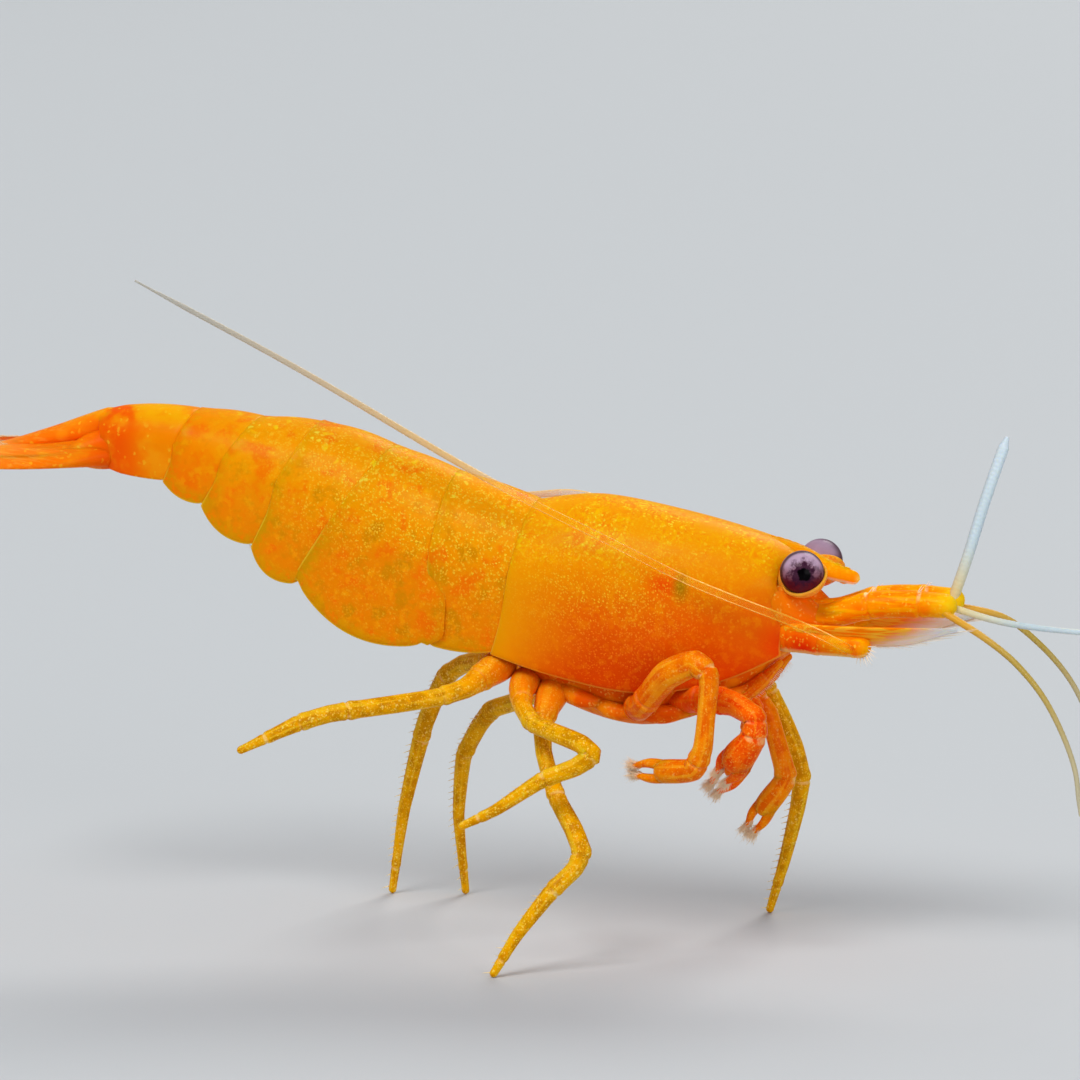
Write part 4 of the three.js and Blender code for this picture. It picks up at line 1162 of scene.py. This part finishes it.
def leg(name, pinch, swelling, **options):
    """A leg's limb, up to where its tip stands or its fingers begin."""
    path, thick, places = LEGS[name]
    joints = Joints([run_at(path, place, LEG_STRAIGHT) for place in places], 0.1, pinch, root=swelling)
    return limb(path, thick, thick, joints, across=LEG_ACROSS, straight=LEG_STRAIGHT, **options)


def build_walking_legs(material, spine_lines):
    """Three pairs of walking legs, of which some stand on the floor."""
    for name, (path, thick, places) in LEGS.items():
        if name.startswith("walking"):
            points, faces, marks = leg(name, 0.1, 0.25, end=standing_end(path, thick[-1]), spacing=0.07)
            points[:, 2] = np.maximum(points[:, 2], 0.0)
            piece = Cast().add(points, faces, marks).piece(name, material)
            settle(piece, "limb", f"{name}_upper", f"{name}_lower")
            leg_spines(path, thick, places, spine_lines)


def build_claw_legs(amber, red, bristle_lines):
    """Two pairs of claw legs: each ends in a palm and two fingers with a brush of bristles."""
    for name, split in FINGERS_FROM.items():
        path, thick, _ = LEGS[name]
        cast = Cast().add(*leg(name, 0.12, 0.2, end=split, around=24, spacing=0.06))
        base, tip = path_at(path, split), np.array(path[-1])
        ahead = unit(tip - base)
        spread = unit(np.cross(ahead, unit(np.array([0.4, 1.0, 0.2]))))
        wide = along(thick, split / (len(path) - 1))
        for sign, opening in ((1, 0.5), (-1, 0.32)):
            finger = [base - ahead * 0.12 + spread * sign * wide * 0.45,
                      lerp(base, tip, 0.5) + spread * sign * wide * (0.5 + opening * 0.4),
                      tip + spread * sign * wide * opening]
            cast.add(*limb(finger, (wide * 0.5, wide * 0.38, 0.08), (wide * 0.6, wide * 0.5, 0.1), Joints(()),
                           across=spread, around=16, spacing=0.05))
            for turn in np.linspace(0, 2 * math.pi, BRUSH_HAIRS, endpoint=False):
                spoke = spread * math.cos(turn) + np.cross(ahead, spread) * math.sin(turn)
                root = finger[2] + spoke * 0.06
                lean = unit(ahead + spoke * (0.3 + 0.2 * math.sin(5 * turn))) * BRUSH_LENGTH
                bristle_lines.append([(root - ahead * 0.2, lean * 0.6), (root + ahead * 0.06, lean)])
        paint = red if name.startswith("claw_leg_1") else amber
        settle(cast.piece(name, paint), "claw", f"{name}_upper", f"{name}_lower")


def build_jaw_legs(material, bristle_lines):
    """A pair of jaw legs folded under the head, bristled along their last two lengths."""
    for side, sign in SIDES.items():
        path = mirror(JAW_LEG, sign)
        joints = Joints([run_at(path, place) for place in (0.7, 1.6, 2.4)], 0.08, 0.1)
        cast = Cast().add(*limb(path, JAW_THICK, JAW_THICK, joints, around=18, spacing=0.06))
        settle(cast.piece(f"jaw_leg_{side}", material), "limb", f"jaw_leg_{side}")
        line = []
        for place in np.linspace(1.7, 2.95, 8):
            line.append((path_at(path, place) + (0.05, 0, -0.12), np.array([0.16, 0, -0.12])))
        bristle_lines.append(line)


def build_bristles(sets):
    """Every set of bristles is one piece: its lines, spacing, thickness, looseness, finish and slot."""
    tree = bristle_tree()
    for seed, (name, (lines, spacing, thickness, loose, material, slot)) in enumerate(sorted(sets.items())):
        values = {"Spacing": spacing * MM, "Thickness": thickness * MM, "Variation": 0.35, "Seed": seed,
                  "Looseness": loose, "Material": material}
        settle(grown(name, tree, lines, values), slot)


# ---- finishes -----------------------------------------------------------------------------
def rgb(code):
    """Linear colour of a plain hex code."""
    parts = [int(code[k : k + 2], 16) / 255 for k in (0, 2, 4)]
    return (*[c / 12.92 if c <= 0.04045 else ((c + 0.055) / 1.055) ** 2.4 for c in parts], 1.0)


class Shade(Nodes):
    """Nodes that paint, in a material or in a node group."""

    def mix(self, factor, first, second):
        """Two colours, each a hex code or a socket, mixed by a factor."""
        first, second = (rgb(colour) if isinstance(colour, str) else colour for colour in (first, second))
        return self.node("ShaderNodeMix", {0: factor, 6: first, 7: second}, data_type="RGBA").outputs[2]

    def mark(self, name):
        return self.node("ShaderNodeAttribute", attribute_name=name).outputs["Fac"]

    def group(self, tree, **inputs):
        return self.node("ShaderNodeGroup", inputs, node_tree=tree).outputs["Mask"]


def mask_group(name, inputs, build):
    """A shared shader group that puts out one mask."""
    tree = bpy.data.node_groups.new(name, "ShaderNodeTree")
    for title, kind in inputs.items():
        tree.interface.new_socket(title, in_out="INPUT", socket_type=kind)
    tree.interface.new_socket("Mask", in_out="OUTPUT", socket_type="NodeSocketFloat")
    shade = Shade(tree)
    source, sink = tree.nodes.new("NodeGroupInput"), tree.nodes.new("NodeGroupOutput")
    tree.links.new(build(shade, source.outputs), sink.inputs["Mask"])
    return tree


def flecks_nodes(shade, given):
    """Small ragged grains: Size apart, Fill of that wide, in a Share of the cells."""
    scale = shade.math("DIVIDE", 1.0, given["Size"])
    ragged = shade.node("ShaderNodeTexNoise", {"Vector": given["Place"], "Scale": scale, "Detail": 1.0})
    push = shade.math("MULTIPLY", given["Size"], 1.3)
    place = shade.vector("MULTIPLY_ADD", ragged.outputs["Color"], push, given["Place"])
    cells = shade.node("ShaderNodeTexVoronoi", {"Vector": place, "Scale": scale}, feature="F1")
    edge = shade.math("MULTIPLY", given["Fill"], 0.45)
    grain = shade.step(cells.outputs["Distance"], given["Fill"], edge)
    lot = shade.node("ShaderNodeSeparateColor", {"Color": cells.outputs["Color"]})
    chosen = shade.math("LESS_THAN", lot.outputs["Red"], given["Share"])
    bright = shade.math("MULTIPLY_ADD", lot.outputs["Green"], 0.6, 0.4)
    return shade.times(grain, chosen, bright)


def spot_nodes(shade, given):
    """An oval spot on both flanks, full at its centre and gone at its Reach."""
    parts = shade.parts(given["Place"])
    folded = shade.combined(parts["X"], shade.math("ABSOLUTE", parts["Y"]), parts["Z"])
    away = shade.vector("SUBTRACT", folded, given["Centre"])
    distance = shade.vector("LENGTH", shade.vector("DIVIDE", away, given["Reach"]))
    return shade.step(distance, 1.0, 0.0)


def band_nodes(shade, given):
    """A band along a plate's margin: full at the margin, gone at its Width."""
    return shade.step(given["Edge"], given["Width"], shade.math("MULTIPLY", given["Width"], 0.1))


FLECKS = mask_group("flecks", {"Place": VECTOR, "Size": FLOAT, "Fill": FLOAT, "Share": FLOAT}, flecks_nodes)
SPOT = mask_group("spot", {"Place": VECTOR, "Centre": VECTOR, "Reach": VECTOR}, spot_nodes)
BAND = mask_group("band", {"Edge": FLOAT, "Width": FLOAT}, band_nodes)


class Finish(Shade):
    """A material whose nodes read the place in the animal's own millimetres."""

    def __init__(self, name):
        self.material = bpy.data.materials.new(name)
        self.material.use_nodes = True
        super().__init__(self.material.node_tree)
        self.tree.nodes.clear()
        coordinates = self.node("ShaderNodeTexCoord").outputs["Object"]
        self.place = self.node("ShaderNodeMapping", {
            "Vector": coordinates, "Scale": (1 / MM,) * 3, "Location": tuple(-SHIFT),
        }).outputs["Vector"]
        self.x, self.y, self.z = self.parts(self.place)

    def noise(self, size, detail=2.0, roughness=0.5, distortion=0.0, place=None):
        """Clouds of that size in millimetres, or of that share of another place given."""
        inputs = {"Vector": place or self.place, "Scale": 1 / size, "Detail": detail,
                  "Roughness": roughness, "Distortion": distortion}
        return self.node("ShaderNodeTexNoise", inputs).outputs["Fac"]

    def spot(self, centre, reach):
        return self.group(SPOT, Place=self.place, Centre=centre, Reach=reach)

    def band(self, width):
        """A band along a plate's margin, that wide."""
        return self.group(BAND, Edge=self.mark("edge"), Width=width)

    def drawn_out(self, squeeze, size):
        """Noise drawn out along the animal, the more so the smaller the squeeze."""
        inputs = {"Vector": self.place, "Scale": (squeeze, 1.0, 1.0)}
        return self.noise(size, place=self.node("ShaderNodeMapping", inputs).outputs[0])

    def flecks(self, size, fill, share):
        return self.group(FLECKS, Place=self.place, Size=size, Fill=fill, Share=share)

    def base(self, mask, first, second):
        """Starts the colours: the first, or the second where the mask is."""
        self.colour = self.mix(mask, first, second)

    def coat(self, colour, *masks):
        """Lays one more colour over those below, where all the masks are."""
        self.colour = self.mix(self.times(*masks), self.colour, colour)

    def done(self, roughness, bump=(), alpha=None, **sockets):
        """Ends in one shader. bump is pairs of (height, millimetres)."""
        inputs = {"Base Color": self.colour, "Roughness": roughness, "IOR": 1.45}
        normal = None
        for height, depth in bump:
            made = self.node("ShaderNodeBump", {"Height": height, "Distance": depth * MM, "Strength": 1.0})
            if normal is not None:
                self.tree.links.new(normal, made.inputs["Normal"])
            normal = made.outputs["Normal"]
        if normal is not None:
            inputs["Normal"] = normal
        if alpha is not None:
            inputs["Alpha"] = alpha
        inputs.update({key.replace("_", " "): value for key, value in sockets.items()})
        shader = self.node("ShaderNodeBsdfPrincipled", inputs, subsurface_method="RANDOM_WALK")
        output = self.node("ShaderNodeOutputMaterial", {"Surface": shader.outputs["BSDF"]})
        output.is_active_output = True
        return self.material


FLESHY = {  # how light enters and leaves every shell plate, limb and skin
    "Subsurface_Weight": 0.4, "Subsurface_Radius": (1.0, 0.4, 0.05), "Subsurface_Scale": 0.4 * MM,
    "Specular_IOR_Level": 0.1, "Coat_Weight": 0.02, "Coat_Roughness": 0.14, "IOR": 1.2,
}


def carapace_finish():
    """Golden orange back, deeper orange flank and red mouth, dusted with gold under the surface."""
    paint = Finish("carapace_orange")
    clouds = paint.noise(1.2, 4.0, 0.6)
    fine = paint.noise(0.26, 3.0, 0.6)
    level = paint.math("MULTIPLY_ADD", clouds, 1.6, paint.math("SUBTRACT", paint.z, 0.8))
    front = paint.step(paint.x, -1.2, 2.0)
    paint.base(paint.times(paint.step(level, 11.6, 9.0), front), "ff9c00", "f46000")
    paint.coat("df4400", paint.step(level, 9.2, 7.6), front)
    fine_share = paint.step(level, 8.4, 10.8, 0.16, 0.5)
    paint.coat("ff9d04", paint.step(fine, 0.5, 0.64), fine_share)
    paint.coat("ff2e00", paint.spot((7.5, 1.3, 8.7), (1.3, 1.4, 0.9)))
    paint.coat("ffa800", paint.spot((8.2, 0.0, 10.7), (1.3, 0.5, 0.9)))
    paint.coat("ffe9c4", paint.step(paint.mark("upward"), -0.5, -0.8), paint.step(paint.x, 7.8, 8.2))
    paint.coat("ffd760", paint.spot((9.0, 0.0, 10.34), (0.2, 0.4, 0.25)))
    paint.coat("ff4a00", paint.spot((3.95, 1.9, 10.3), (0.8, 1.0, 0.68)), 0.85)
    paint.coat("a37a06", paint.spot((4.42, 1.85, 10.27), (0.34, 0.9, 0.62)), 0.9)
    yolk = paint.times(paint.step(level, 10.2, 11.6), paint.step(clouds, 0.34, 0.56))
    swirls = paint.noise(0.36, 4.0, 0.7, 2.5)
    paint.coat("ff7800", yolk, paint.step(swirls, 0.47, 0.4), 0.6)
    paint.coat("ffb800", yolk, paint.step(swirls, 0.52, 0.6), 0.85)
    paint.coat("ffd42c", paint.flecks(0.1, 0.46, 0.6), yolk)
    paint.coat("ffcc18", paint.flecks(0.26, 0.4, 0.3), paint.step(level, 10.8, 12.2), 0.9)
    golden = paint.mix(paint.step(level, 8.6, 10.6), "ff9422", "ffc82c")
    dust = paint.times(paint.flecks(0.066, 0.5, 0.66), paint.spot((2.4, 1.9, 9.7), (5.2, 3.6, 3.4)), 0.9)
    paint.coat(golden, dust)
    paint.coat(golden, paint.flecks(0.13, 0.4, 0.3), paint.spot((4.4, 1.9, 9.5), (3.6, 3.0, 2.4)), 0.7)
    rim = paint.times(paint.band(0.05), paint.step(paint.z, 9.4, 8.4))
    paint.coat("ffb93a", rim, 0.35)
    pores = paint.noise(0.05)
    roughness = paint.step(fine, 0.3, 0.7, 0.34, 0.46)
    return paint.done(roughness, [(pores, 0.003), (dust, 0.005), (clouds, 0.02)], **FLESHY)


def abdomen_finish():
    """Amber plates, cloudy like thin resin, with yellow flecks along the back and olive flaps."""
    paint = Finish("abdomen_orange")
    clouds = paint.noise(1.5, 4.0, 0.6)
    patches = paint.noise(0.8, 3.0, 0.55)
    fine = paint.noise(0.24, 3.0, 0.6)
    raised = paint.math("MULTIPLY_ADD", paint.x, 0.3, paint.z)
    level = paint.math("MULTIPLY_ADD", clouds, 1.6, paint.math("SUBTRACT", raised, 0.8))
    paint.base(paint.step(level, 11.2, 9.0), "ff9a00", "f58600")
    paint.coat("ff6e00", paint.step(patches, 0.52, 0.66), 0.7)
    amber = paint.times(paint.step(patches, 0.5, 0.34), paint.step(level, 12.2, 10.4))
    paint.coat("d48600", amber, 0.85)
    paint.coat("ff7200", paint.step(paint.x, -8.0, -11.5))
    paint.coat("ffa408", paint.step(fine, 0.52, 0.66), 0.5)
    seam = paint.times(paint.band(0.5), paint.step(fine, 0.4, 0.56))
    paint.coat("eaa000", seam, 0.35)
    back = paint.times(paint.step(level, 10.9, 12.0), paint.step(paint.x, -9.6, -7.6))
    near_seam = paint.math("MULTIPLY_ADD", paint.band(0.9), 0.7, 0.3)
    paint.coat("ffd63c", paint.flecks(0.17, 0.46, 0.5), back, near_seam)
    paint.coat("ffc610", paint.flecks(0.3, 0.45, 0.35), back)
    cloudy, high = paint.step(clouds, 0.3, 0.5), paint.step(level, 8.6, 10.6, 0.35, 0.95)
    dust = paint.times(paint.flecks(0.075, 0.52, 0.7), paint.step(paint.x, -9.5, -4.0), cloudy, high)
    paint.coat("ffcc34", dust)
    low = paint.step(raised, 10.2, 9.2)
    band = paint.times(paint.band(0.6), low, paint.step(fine, 0.3, 0.55))
    paint.coat("d99200", band, 0.75)
    rim = paint.times(paint.band(0.05), low)
    paint.coat("ffc42e", rim, 0.6)
    pores = paint.noise(0.05)
    roughness = paint.step(fine, 0.3, 0.7, 0.34, 0.46)
    return paint.done(roughness, [(pores, 0.003), (dust, 0.005), (patches, 0.02)], **FLESHY)


def tail_finish():
    """Deep orange with a yellow top, paling to the blades' ends between fine rays."""
    paint = Finish("tail_orange")
    clouds = paint.noise(0.8, 3.0)
    paint.base(paint.step(paint.x, -10.8, -11.9), "ff8600", "ff5a00")
    paint.coat("fb7804", paint.step(paint.x, -12.2, -13.1))
    paint.coat("ffb458", paint.step(paint.x, -14.4, -16.8), 0.5)
    paint.coat("ffa010", paint.step(clouds, 0.48, 0.66), 0.5)
    top = paint.times(paint.step(paint.z, 13.9, 14.4), paint.step(clouds, 0.35, 0.55))
    paint.coat("ffb400", top, 0.6)
    rays = paint.drawn_out(0.15, 0.09)
    blades = paint.step(paint.x, -13.0, -14.5)
    paint.coat("ffb040", paint.step(rays, 0.5, 0.62), blades, 0.35)
    paint.coat("ffc22a", paint.flecks(0.16, 0.44, 0.3), 0.6)
    return paint.done(0.38, [(rays, 0.006), (clouds, 0.02)], **FLESHY)


def flesh_finish():
    """The deep orange skin under the plates, red at the mouth."""
    paint = Finish("flesh_orange")
    clouds = paint.noise(0.5, 4.0)
    paint.base(paint.step(clouds, 0.35, 0.65), "f05e00", "ff8a08")
    paint.coat("fa7a04", paint.step(paint.spot((7.4, 0.8, 9.7), (1.9, 1.8, 1.3)), 0.1, 0.6))
    paint.coat("ff3400", paint.spot((7.7, 1.3, 8.7), (1.2, 1.3, 0.7)))
    paint.coat("ffbe50", paint.flecks(0.1, 0.46, 0.5), 0.6)
    return paint.done(0.42, [(clouds, 0.03)], **FLESHY)


def limb_finish(name, main, core, root, streak, gold=0.9):
    """Clear amber limb with long streaks and gold grains, the root's colour near the body, and pale patches
    at the joints as painted highlights.
    """
    paint = Finish(name)
    clouds = paint.noise(0.35, 3.0)
    paint.base(paint.step(clouds, 0.38, 0.62), core, main)
    near_body = paint.step(paint.spot((2.0, 0.0, 7.6), (7.6, 4.4, 2.6)), 0.05, 0.6)
    paint.coat(root, near_body)
    run = paint.mark("run")
    streaked = paint.combined(paint.mark("sideways"), paint.mark("upward"), paint.math("MULTIPLY", run, 0.22))
    plain = paint.math("MULTIPLY_ADD", near_body, -0.65, 1.0)
    streaks = paint.step(paint.noise(0.5, place=streaked), 0.5, 0.62)
    paint.coat(streak, streaks, plain, 0.6)
    grains = paint.times(paint.flecks(0.06, 0.5, 0.65), plain, gold)
    paint.coat("ffd648", grains)
    flakes = paint.times(paint.flecks(0.11, 0.42, 0.4), plain, gold * 0.8)
    paint.coat("ffe272", flakes)
    joint = paint.step(paint.mark("joint"), 0.6, 1.0)
    # painted highlight: pale patches on the joints away from the leg's root stand in for highlights on the
    # knees
    pale = paint.times(joint, paint.step(run, 2.6, 3.4, 0.2, 1.0), paint.step(clouds, 0.44, 0.6), 0.35)
    paint.coat("ffe9a8", pale)
    return paint.done(0.3, [(grains, 0.006), (clouds, 0.012)], **FLESHY)


def stalk_finish():
    """Orange feeler stems with long yellow streaks and small pale spots over the joints."""
    paint = Finish("stem_orange")
    streaks = paint.drawn_out(0.12, 0.13)
    clouds = paint.noise(0.5, 3.0)
    paint.base(paint.step(clouds, 0.35, 0.65), "ff8000", "ffa000")
    paint.coat("ffb400", paint.step(streaks, 0.5, 0.6), paint.step(paint.x, 7.4, 8.8), 0.7)
    paint.coat("ff2e00", paint.spot((7.75, 1.3, 8.7), (1.3, 1.3, 0.75)))
    # painted light: the eye cup's orange is made paler so it still looks lit where it faces down into shade
    paint.coat("ffae50", paint.spot((7.7, 1.2, 10.5), (1.1, 1.1, 1.0)), 0.9)
    paint.coat("ffc810", paint.step(paint.x, 10.8, 11.8))
    paint.coat("ffcc3c", paint.flecks(0.1, 0.46, 0.4), 0.7)
    underside = paint.step(paint.mark("upward"), -0.6, -0.85)
    paint.coat("ffc878", underside, paint.step(paint.z, 8.85, 8.65), 0.7)
    top = paint.step(paint.z, 9.9, 10.15)
    pale = paint.times(paint.step(paint.mark("joint"), 0.6, 1.0), top, paint.step(clouds, 0.4, 0.56))
    paint.coat("ffe9b8", pale, 0.8)
    return paint.done(0.34, [(streaks, 0.01)], **FLESHY)


def scale_finish():
    """Antennal scale: orange with yellow ribs at its root, paling to a clear pinkish blade."""
    paint = Finish("scale_clear")
    rays = paint.drawn_out(0.1, 0.12)
    drop = paint.math("SUBTRACT", 9.35, paint.z)
    out = paint.step(paint.math("MULTIPLY_ADD", drop, 2.4, paint.x), 10.4, 11.7)
    paint.base(out, "ff8400", "ffdcc4")
    paint.coat("dfeaf2", out, paint.step(paint.x, 10.6, 11.8))
    ribs = paint.times(paint.step(rays, 0.46, 0.56), paint.math("SUBTRACT", 1.0, paint.times(out, 0.7)))
    paint.coat("ffbe2c", ribs, 0.8)
    clear = paint.math("SUBTRACT", 1.0, paint.math("MULTIPLY", out, 0.42))
    return paint.done(0.3, [(rays, 0.008)], clear, **FLESHY)


def feeler_finish(name, root, middle, tip, near, far, veiled=0.0):
    """A feeler's colours from root to tip, clearer between its walls: as solid as near, then far.

    veiled is how much clearer it is where it runs along the body.
    """
    paint = Finish(name)
    reach = paint.mark("reach")
    paint.base(paint.step(reach, 0.0, 0.4), root, middle)
    paint.coat(tip, paint.step(reach, 0.4, 1.0))
    wall = paint.step(paint.mark("wall"), 0.65, 0.9)
    paint.coat("fff4d8", wall, paint.step(reach, 0.35, 0.6, 0.0, 0.45))
    between = paint.step(reach, 0.4, 0.56, near, far)
    alpha = paint.math("MULTIPLY_ADD", wall, paint.math("SUBTRACT", 0.85, between), between)
    hidden = paint.times(paint.step(reach, 0.2, 0.28), paint.step(reach, 0.52, 0.47), veiled)
    alpha = paint.times(alpha, paint.math("SUBTRACT", 1.0, hidden))
    return paint.done(0.3, (), alpha, Specular_IOR_Level=0.15, Coat_Weight=0.1, Coat_Roughness=0.1,
                      Subsurface_Weight=0.2, Subsurface_Radius=(1.0, 0.8, 0.5), Subsurface_Scale=0.1 * MM)


def bristle_finish(name, colour, alpha):
    """Hairs and spines, a little paler in patches."""
    paint = Finish(name)
    paint.base(paint.times(paint.noise(0.3), 0.6), colour, "fff8ea")
    return paint.done(0.35, (), alpha)


def cornea_finish():
    """A glassy eye: black centre, dark rays into mauve grey with a painted highlight crescent above, deep
    maroon below.
    """
    paint = Finish("cornea_glass")
    flank = paint.math("MULTIPLY", paint.math("ABSOLUTE", paint.y), -1.0)
    away = paint.vector("SUBTRACT", paint.combined(paint.x, flank, paint.z), tuple(EYE_CENTRE))
    ray = paint.vector("NORMALIZE", away)
    pupil = unit(np.array([0.3, -0.95, 0.06]))
    side = unit(np.cross(pupil, (0, 0, 1)))
    up = np.cross(side, pupil)
    facing, across, above = (paint.vector("DOT_PRODUCT", ray, tuple(way)) for way in (pupil, side, up))
    angle = paint.math("ARCCOSINE", facing)
    turn = paint.math("ARCTAN2", above, across)
    spread = paint.math("MULTIPLY", angle, 0.5)
    wheel = paint.combined(paint.math("COSINE", turn), paint.math("SINE", turn), spread)
    rays = paint.noise(0.3, 4.0, 0.65, place=wheel)
    blotches = paint.noise(0.16, 3.0, 0.6)
    wavering = paint.math("ADD", angle, paint.step(blotches, 0.3, 0.7, -0.14, 0.14))
    paint.base(paint.step(blotches, 0.36, 0.62), "5c3644", "94687a")
    # painted highlight: a pale lavender crescent over the upper part stands in for the cornea's reflection of
    # the lamps
    painted_highlight_crescent = paint.times(paint.step(above, 0.0, 0.5), paint.step(wavering, 0.45, 0.8))
    paint.coat("c4a6c0", painted_highlight_crescent, 0.85)
    paint.coat("5c0818", paint.step(above, 0.1, -0.4), 0.95)
    halo = paint.math("MULTIPLY_ADD", paint.step(rays, 0.4, 0.6), 0.5, paint.step(wavering, 0.7, 0.32))
    halo = paint.times(paint.math("MINIMUM", halo, paint.step(wavering, 1.0, 0.5)), 0.9)
    paint.coat("36142c", halo)
    centre = paint.math("ADD", angle, paint.step(blotches, 0.3, 0.7, -0.05, 0.05))
    paint.coat("020002", paint.step(centre, 0.35, 0.25))
    outline = paint.times(paint.step(angle, 1.05, 1.3), paint.step(angle, 1.9, 1.3, 0.35, 1.0), 0.85)
    paint.coat("2c0a12", outline)
    return paint.done(0.3, (), Specular_IOR_Level=0.03, Coat_Weight=0.05, Coat_Roughness=0.1)


# ---- floor, light and camera ----------------------------------------------------------------
def build_floor():
    """A wide pale floor that sweeps up all round, far beyond the animal and the lamps."""
    flat, bend, rise, around = 2.0, 0.6, 1.6, 64
    profile = [(0.002, 0.0), (0.2, 0.0), (flat, 0.0)]
    for angle in np.linspace(0.1, math.pi / 2, 12):
        profile.append((flat + bend * math.sin(angle), bend * (1 - math.cos(angle))))
    profile.append((flat + bend, rise))
    turns = np.linspace(0, 2 * math.pi, around, endpoint=False)
    points = [(r * math.cos(turn), r * math.sin(turn), z) for r, z in profile for turn in turns]
    faces = [tuple(range(around))]
    for i in range(len(profile) - 1):
        faces += [(a, d, c, b) for a, b, c, d in band(i, i + 1, around)]
    mesh = bpy.data.meshes.new("floor")
    mesh.from_pydata(points, [], faces)
    mesh.polygons.foreach_set("use_smooth", [True] * len(faces))
    material = bpy.data.materials.new("floor_pale")
    material.use_nodes = True
    shader = material.node_tree.nodes["Principled BSDF"]
    shader.inputs["Base Color"].default_value = rgb("c4c8cc")
    shader.inputs["Roughness"].default_value = 0.85
    mesh.materials.append(material)
    placed("floor", mesh)


LAMPS = {  # place in metres, size, power and colour
    "key_softbox": ((-0.25, -0.9, 1.1), 0.7, 12.0, (1.0, 0.98, 0.95)),
    "fill_softbox": ((1.1, -1.2, 0.3), 1.0, 7.5, (1.0, 1.0, 1.0)),
    "back_softbox": ((0.2, 1.0, 0.9), 0.6, 7.5, (1.0, 0.97, 0.92)),
}
LAMP_TARGET = (0, 0, 0.009)


def build_lights():
    """Three soft round lamps turned to the animal, and an even pale sky."""
    for name, (place, size, power, colour) in LAMPS.items():
        light = bpy.data.lights.new(name, "AREA")
        light.shape = "DISK"
        light.size, light.energy, light.color = size, power, colour
        lamp = placed(name, light)
        lamp.location = place
        lamp.rotation_euler = (Vector(LAMP_TARGET) - Vector(place)).to_track_quat("-Z", "Y").to_euler()
    world = bpy.data.worlds.new("studio")
    world.use_nodes = True
    world.node_tree.nodes["Background"].inputs["Color"].default_value = (0.9, 0.95, 1.0, 1.0)
    world.node_tree.nodes["Background"].inputs["Strength"].default_value = 0.42
    bpy.context.scene.world = world


CAMERA_TURN, CAMERA_RISE, CAMERA_DISTANCE = 15.0, 8.0, 160.0  # degrees, degrees, millimetres
CAMERA_TARGET = (0.0, 0.0, 11.13)
FRAME_WIDTH = 29.7  # millimetres of the animal's middle plane that the frame takes in
SENSOR = 36.0


def build_camera():
    """A long lens on the animal's near side, a little in front of it and above."""
    turn, rise = math.radians(CAMERA_TURN), math.radians(CAMERA_RISE)
    back = np.array([math.sin(turn) * math.cos(rise), -math.cos(turn) * math.cos(rise), math.sin(rise)])
    target = np.array(CAMERA_TARGET) + SHIFT
    data = bpy.data.cameras.new("camera")
    data.sensor_width = SENSOR
    data.lens = SENSOR * CAMERA_DISTANCE / FRAME_WIDTH
    data.clip_start, data.clip_end = 0.005, 5.0
    camera = placed("camera", data)
    camera.location = (target + back * CAMERA_DISTANCE) * MM
    camera.rotation_euler = Vector(-back).to_track_quat("-Z", "Y").to_euler()
    bpy.context.scene.camera = camera


# ---- the animal -----------------------------------------------------------------------------
build_camera()
build_floor()
build_lights()
bpy.context.scene.view_settings.view_transform = "Standard"

carapace_paint = carapace_finish()
abdomen_paint = abdomen_finish()
tail_paint = tail_finish()
stem_paint = stalk_finish()
limb_paint = limb_finish("limb_amber", "eca800", "cd8a00", "f58004", "f4c020")
claw_amber = limb_finish("claw_amber", "f98600", "ec6800", "e65400", "ffac1c", 0.35)
claw_red = limb_finish("claw_red", "ff6a04", "f24a00", "f75400", "ff9018", 0.4)
hair_pale = bristle_finish("bristle_pale", "fff0dc", 0.9)
hair_amber = bristle_finish("bristle_amber", "ffe0a0", 0.9)
spine_amber = bristle_finish("spine_amber", "ffe08a", 1.0)
hair_cream = bristle_finish("bristle_cream", "ffd9a6", 0.9)
whip_paints = {
    "pale": feeler_finish("feeler_pale", "e8d9a0", "cfe0e8", "dcebf4", 0.8, 0.8),
    "amber": feeler_finish("feeler_amber", "f0b020", "c0a23a", "c9c0a0", 0.8, 0.8),
    "long_right": feeler_finish("feeler_long_right", "ffb430", "f6c050", "b6b2a6", 0.07, 0.6, veiled=0.7),
    "long_left": feeler_finish("feeler_long_left", "ffb430", "f6c050", "b6b2a6", 0.07, 0.6),
}

tail_lines, pleopod_lines, head_lines, tuft_lines, claw_lines, spine_lines = [], [], [], [], [], []
build_flesh(flesh_finish())
build_carapace(carapace_paint)
build_rostrum(carapace_paint)
build_abdomen(abdomen_paint, tail_paint)
build_tail_fan(tail_paint, tail_lines)
build_pleopods(limb_paint, pleopod_lines)
build_eyes(cornea_finish(), stem_paint)
build_head_limbs(stem_paint, scale_finish(), head_lines, tuft_lines)
build_whips(whip_paints)
build_walking_legs(limb_paint, spine_lines)
build_claw_legs(claw_amber, claw_red, claw_lines)
build_jaw_legs(claw_amber, head_lines)
build_bristles({
    "tail_bristles": (tail_lines, 0.035, 0.011, 0.08, hair_amber, "tail"),
    "swimming_leg_bristles": (pleopod_lines, 0.035, 0.009, 0.12, hair_amber, "limb"),
    "head_bristles": (head_lines, 0.05, 0.011, 0.08, hair_pale, "stalk"),
    "feeler_tufts": (tuft_lines, 0.5, 0.018, 0.12, hair_pale, "stalk"),
    "claw_brushes": (claw_lines, 0.024, 0.008, 0.3, hair_cream, "claw"),
    "leg_spines": (spine_lines, 0.2, 0.022, 0.15, spine_amber, "limb"),
})
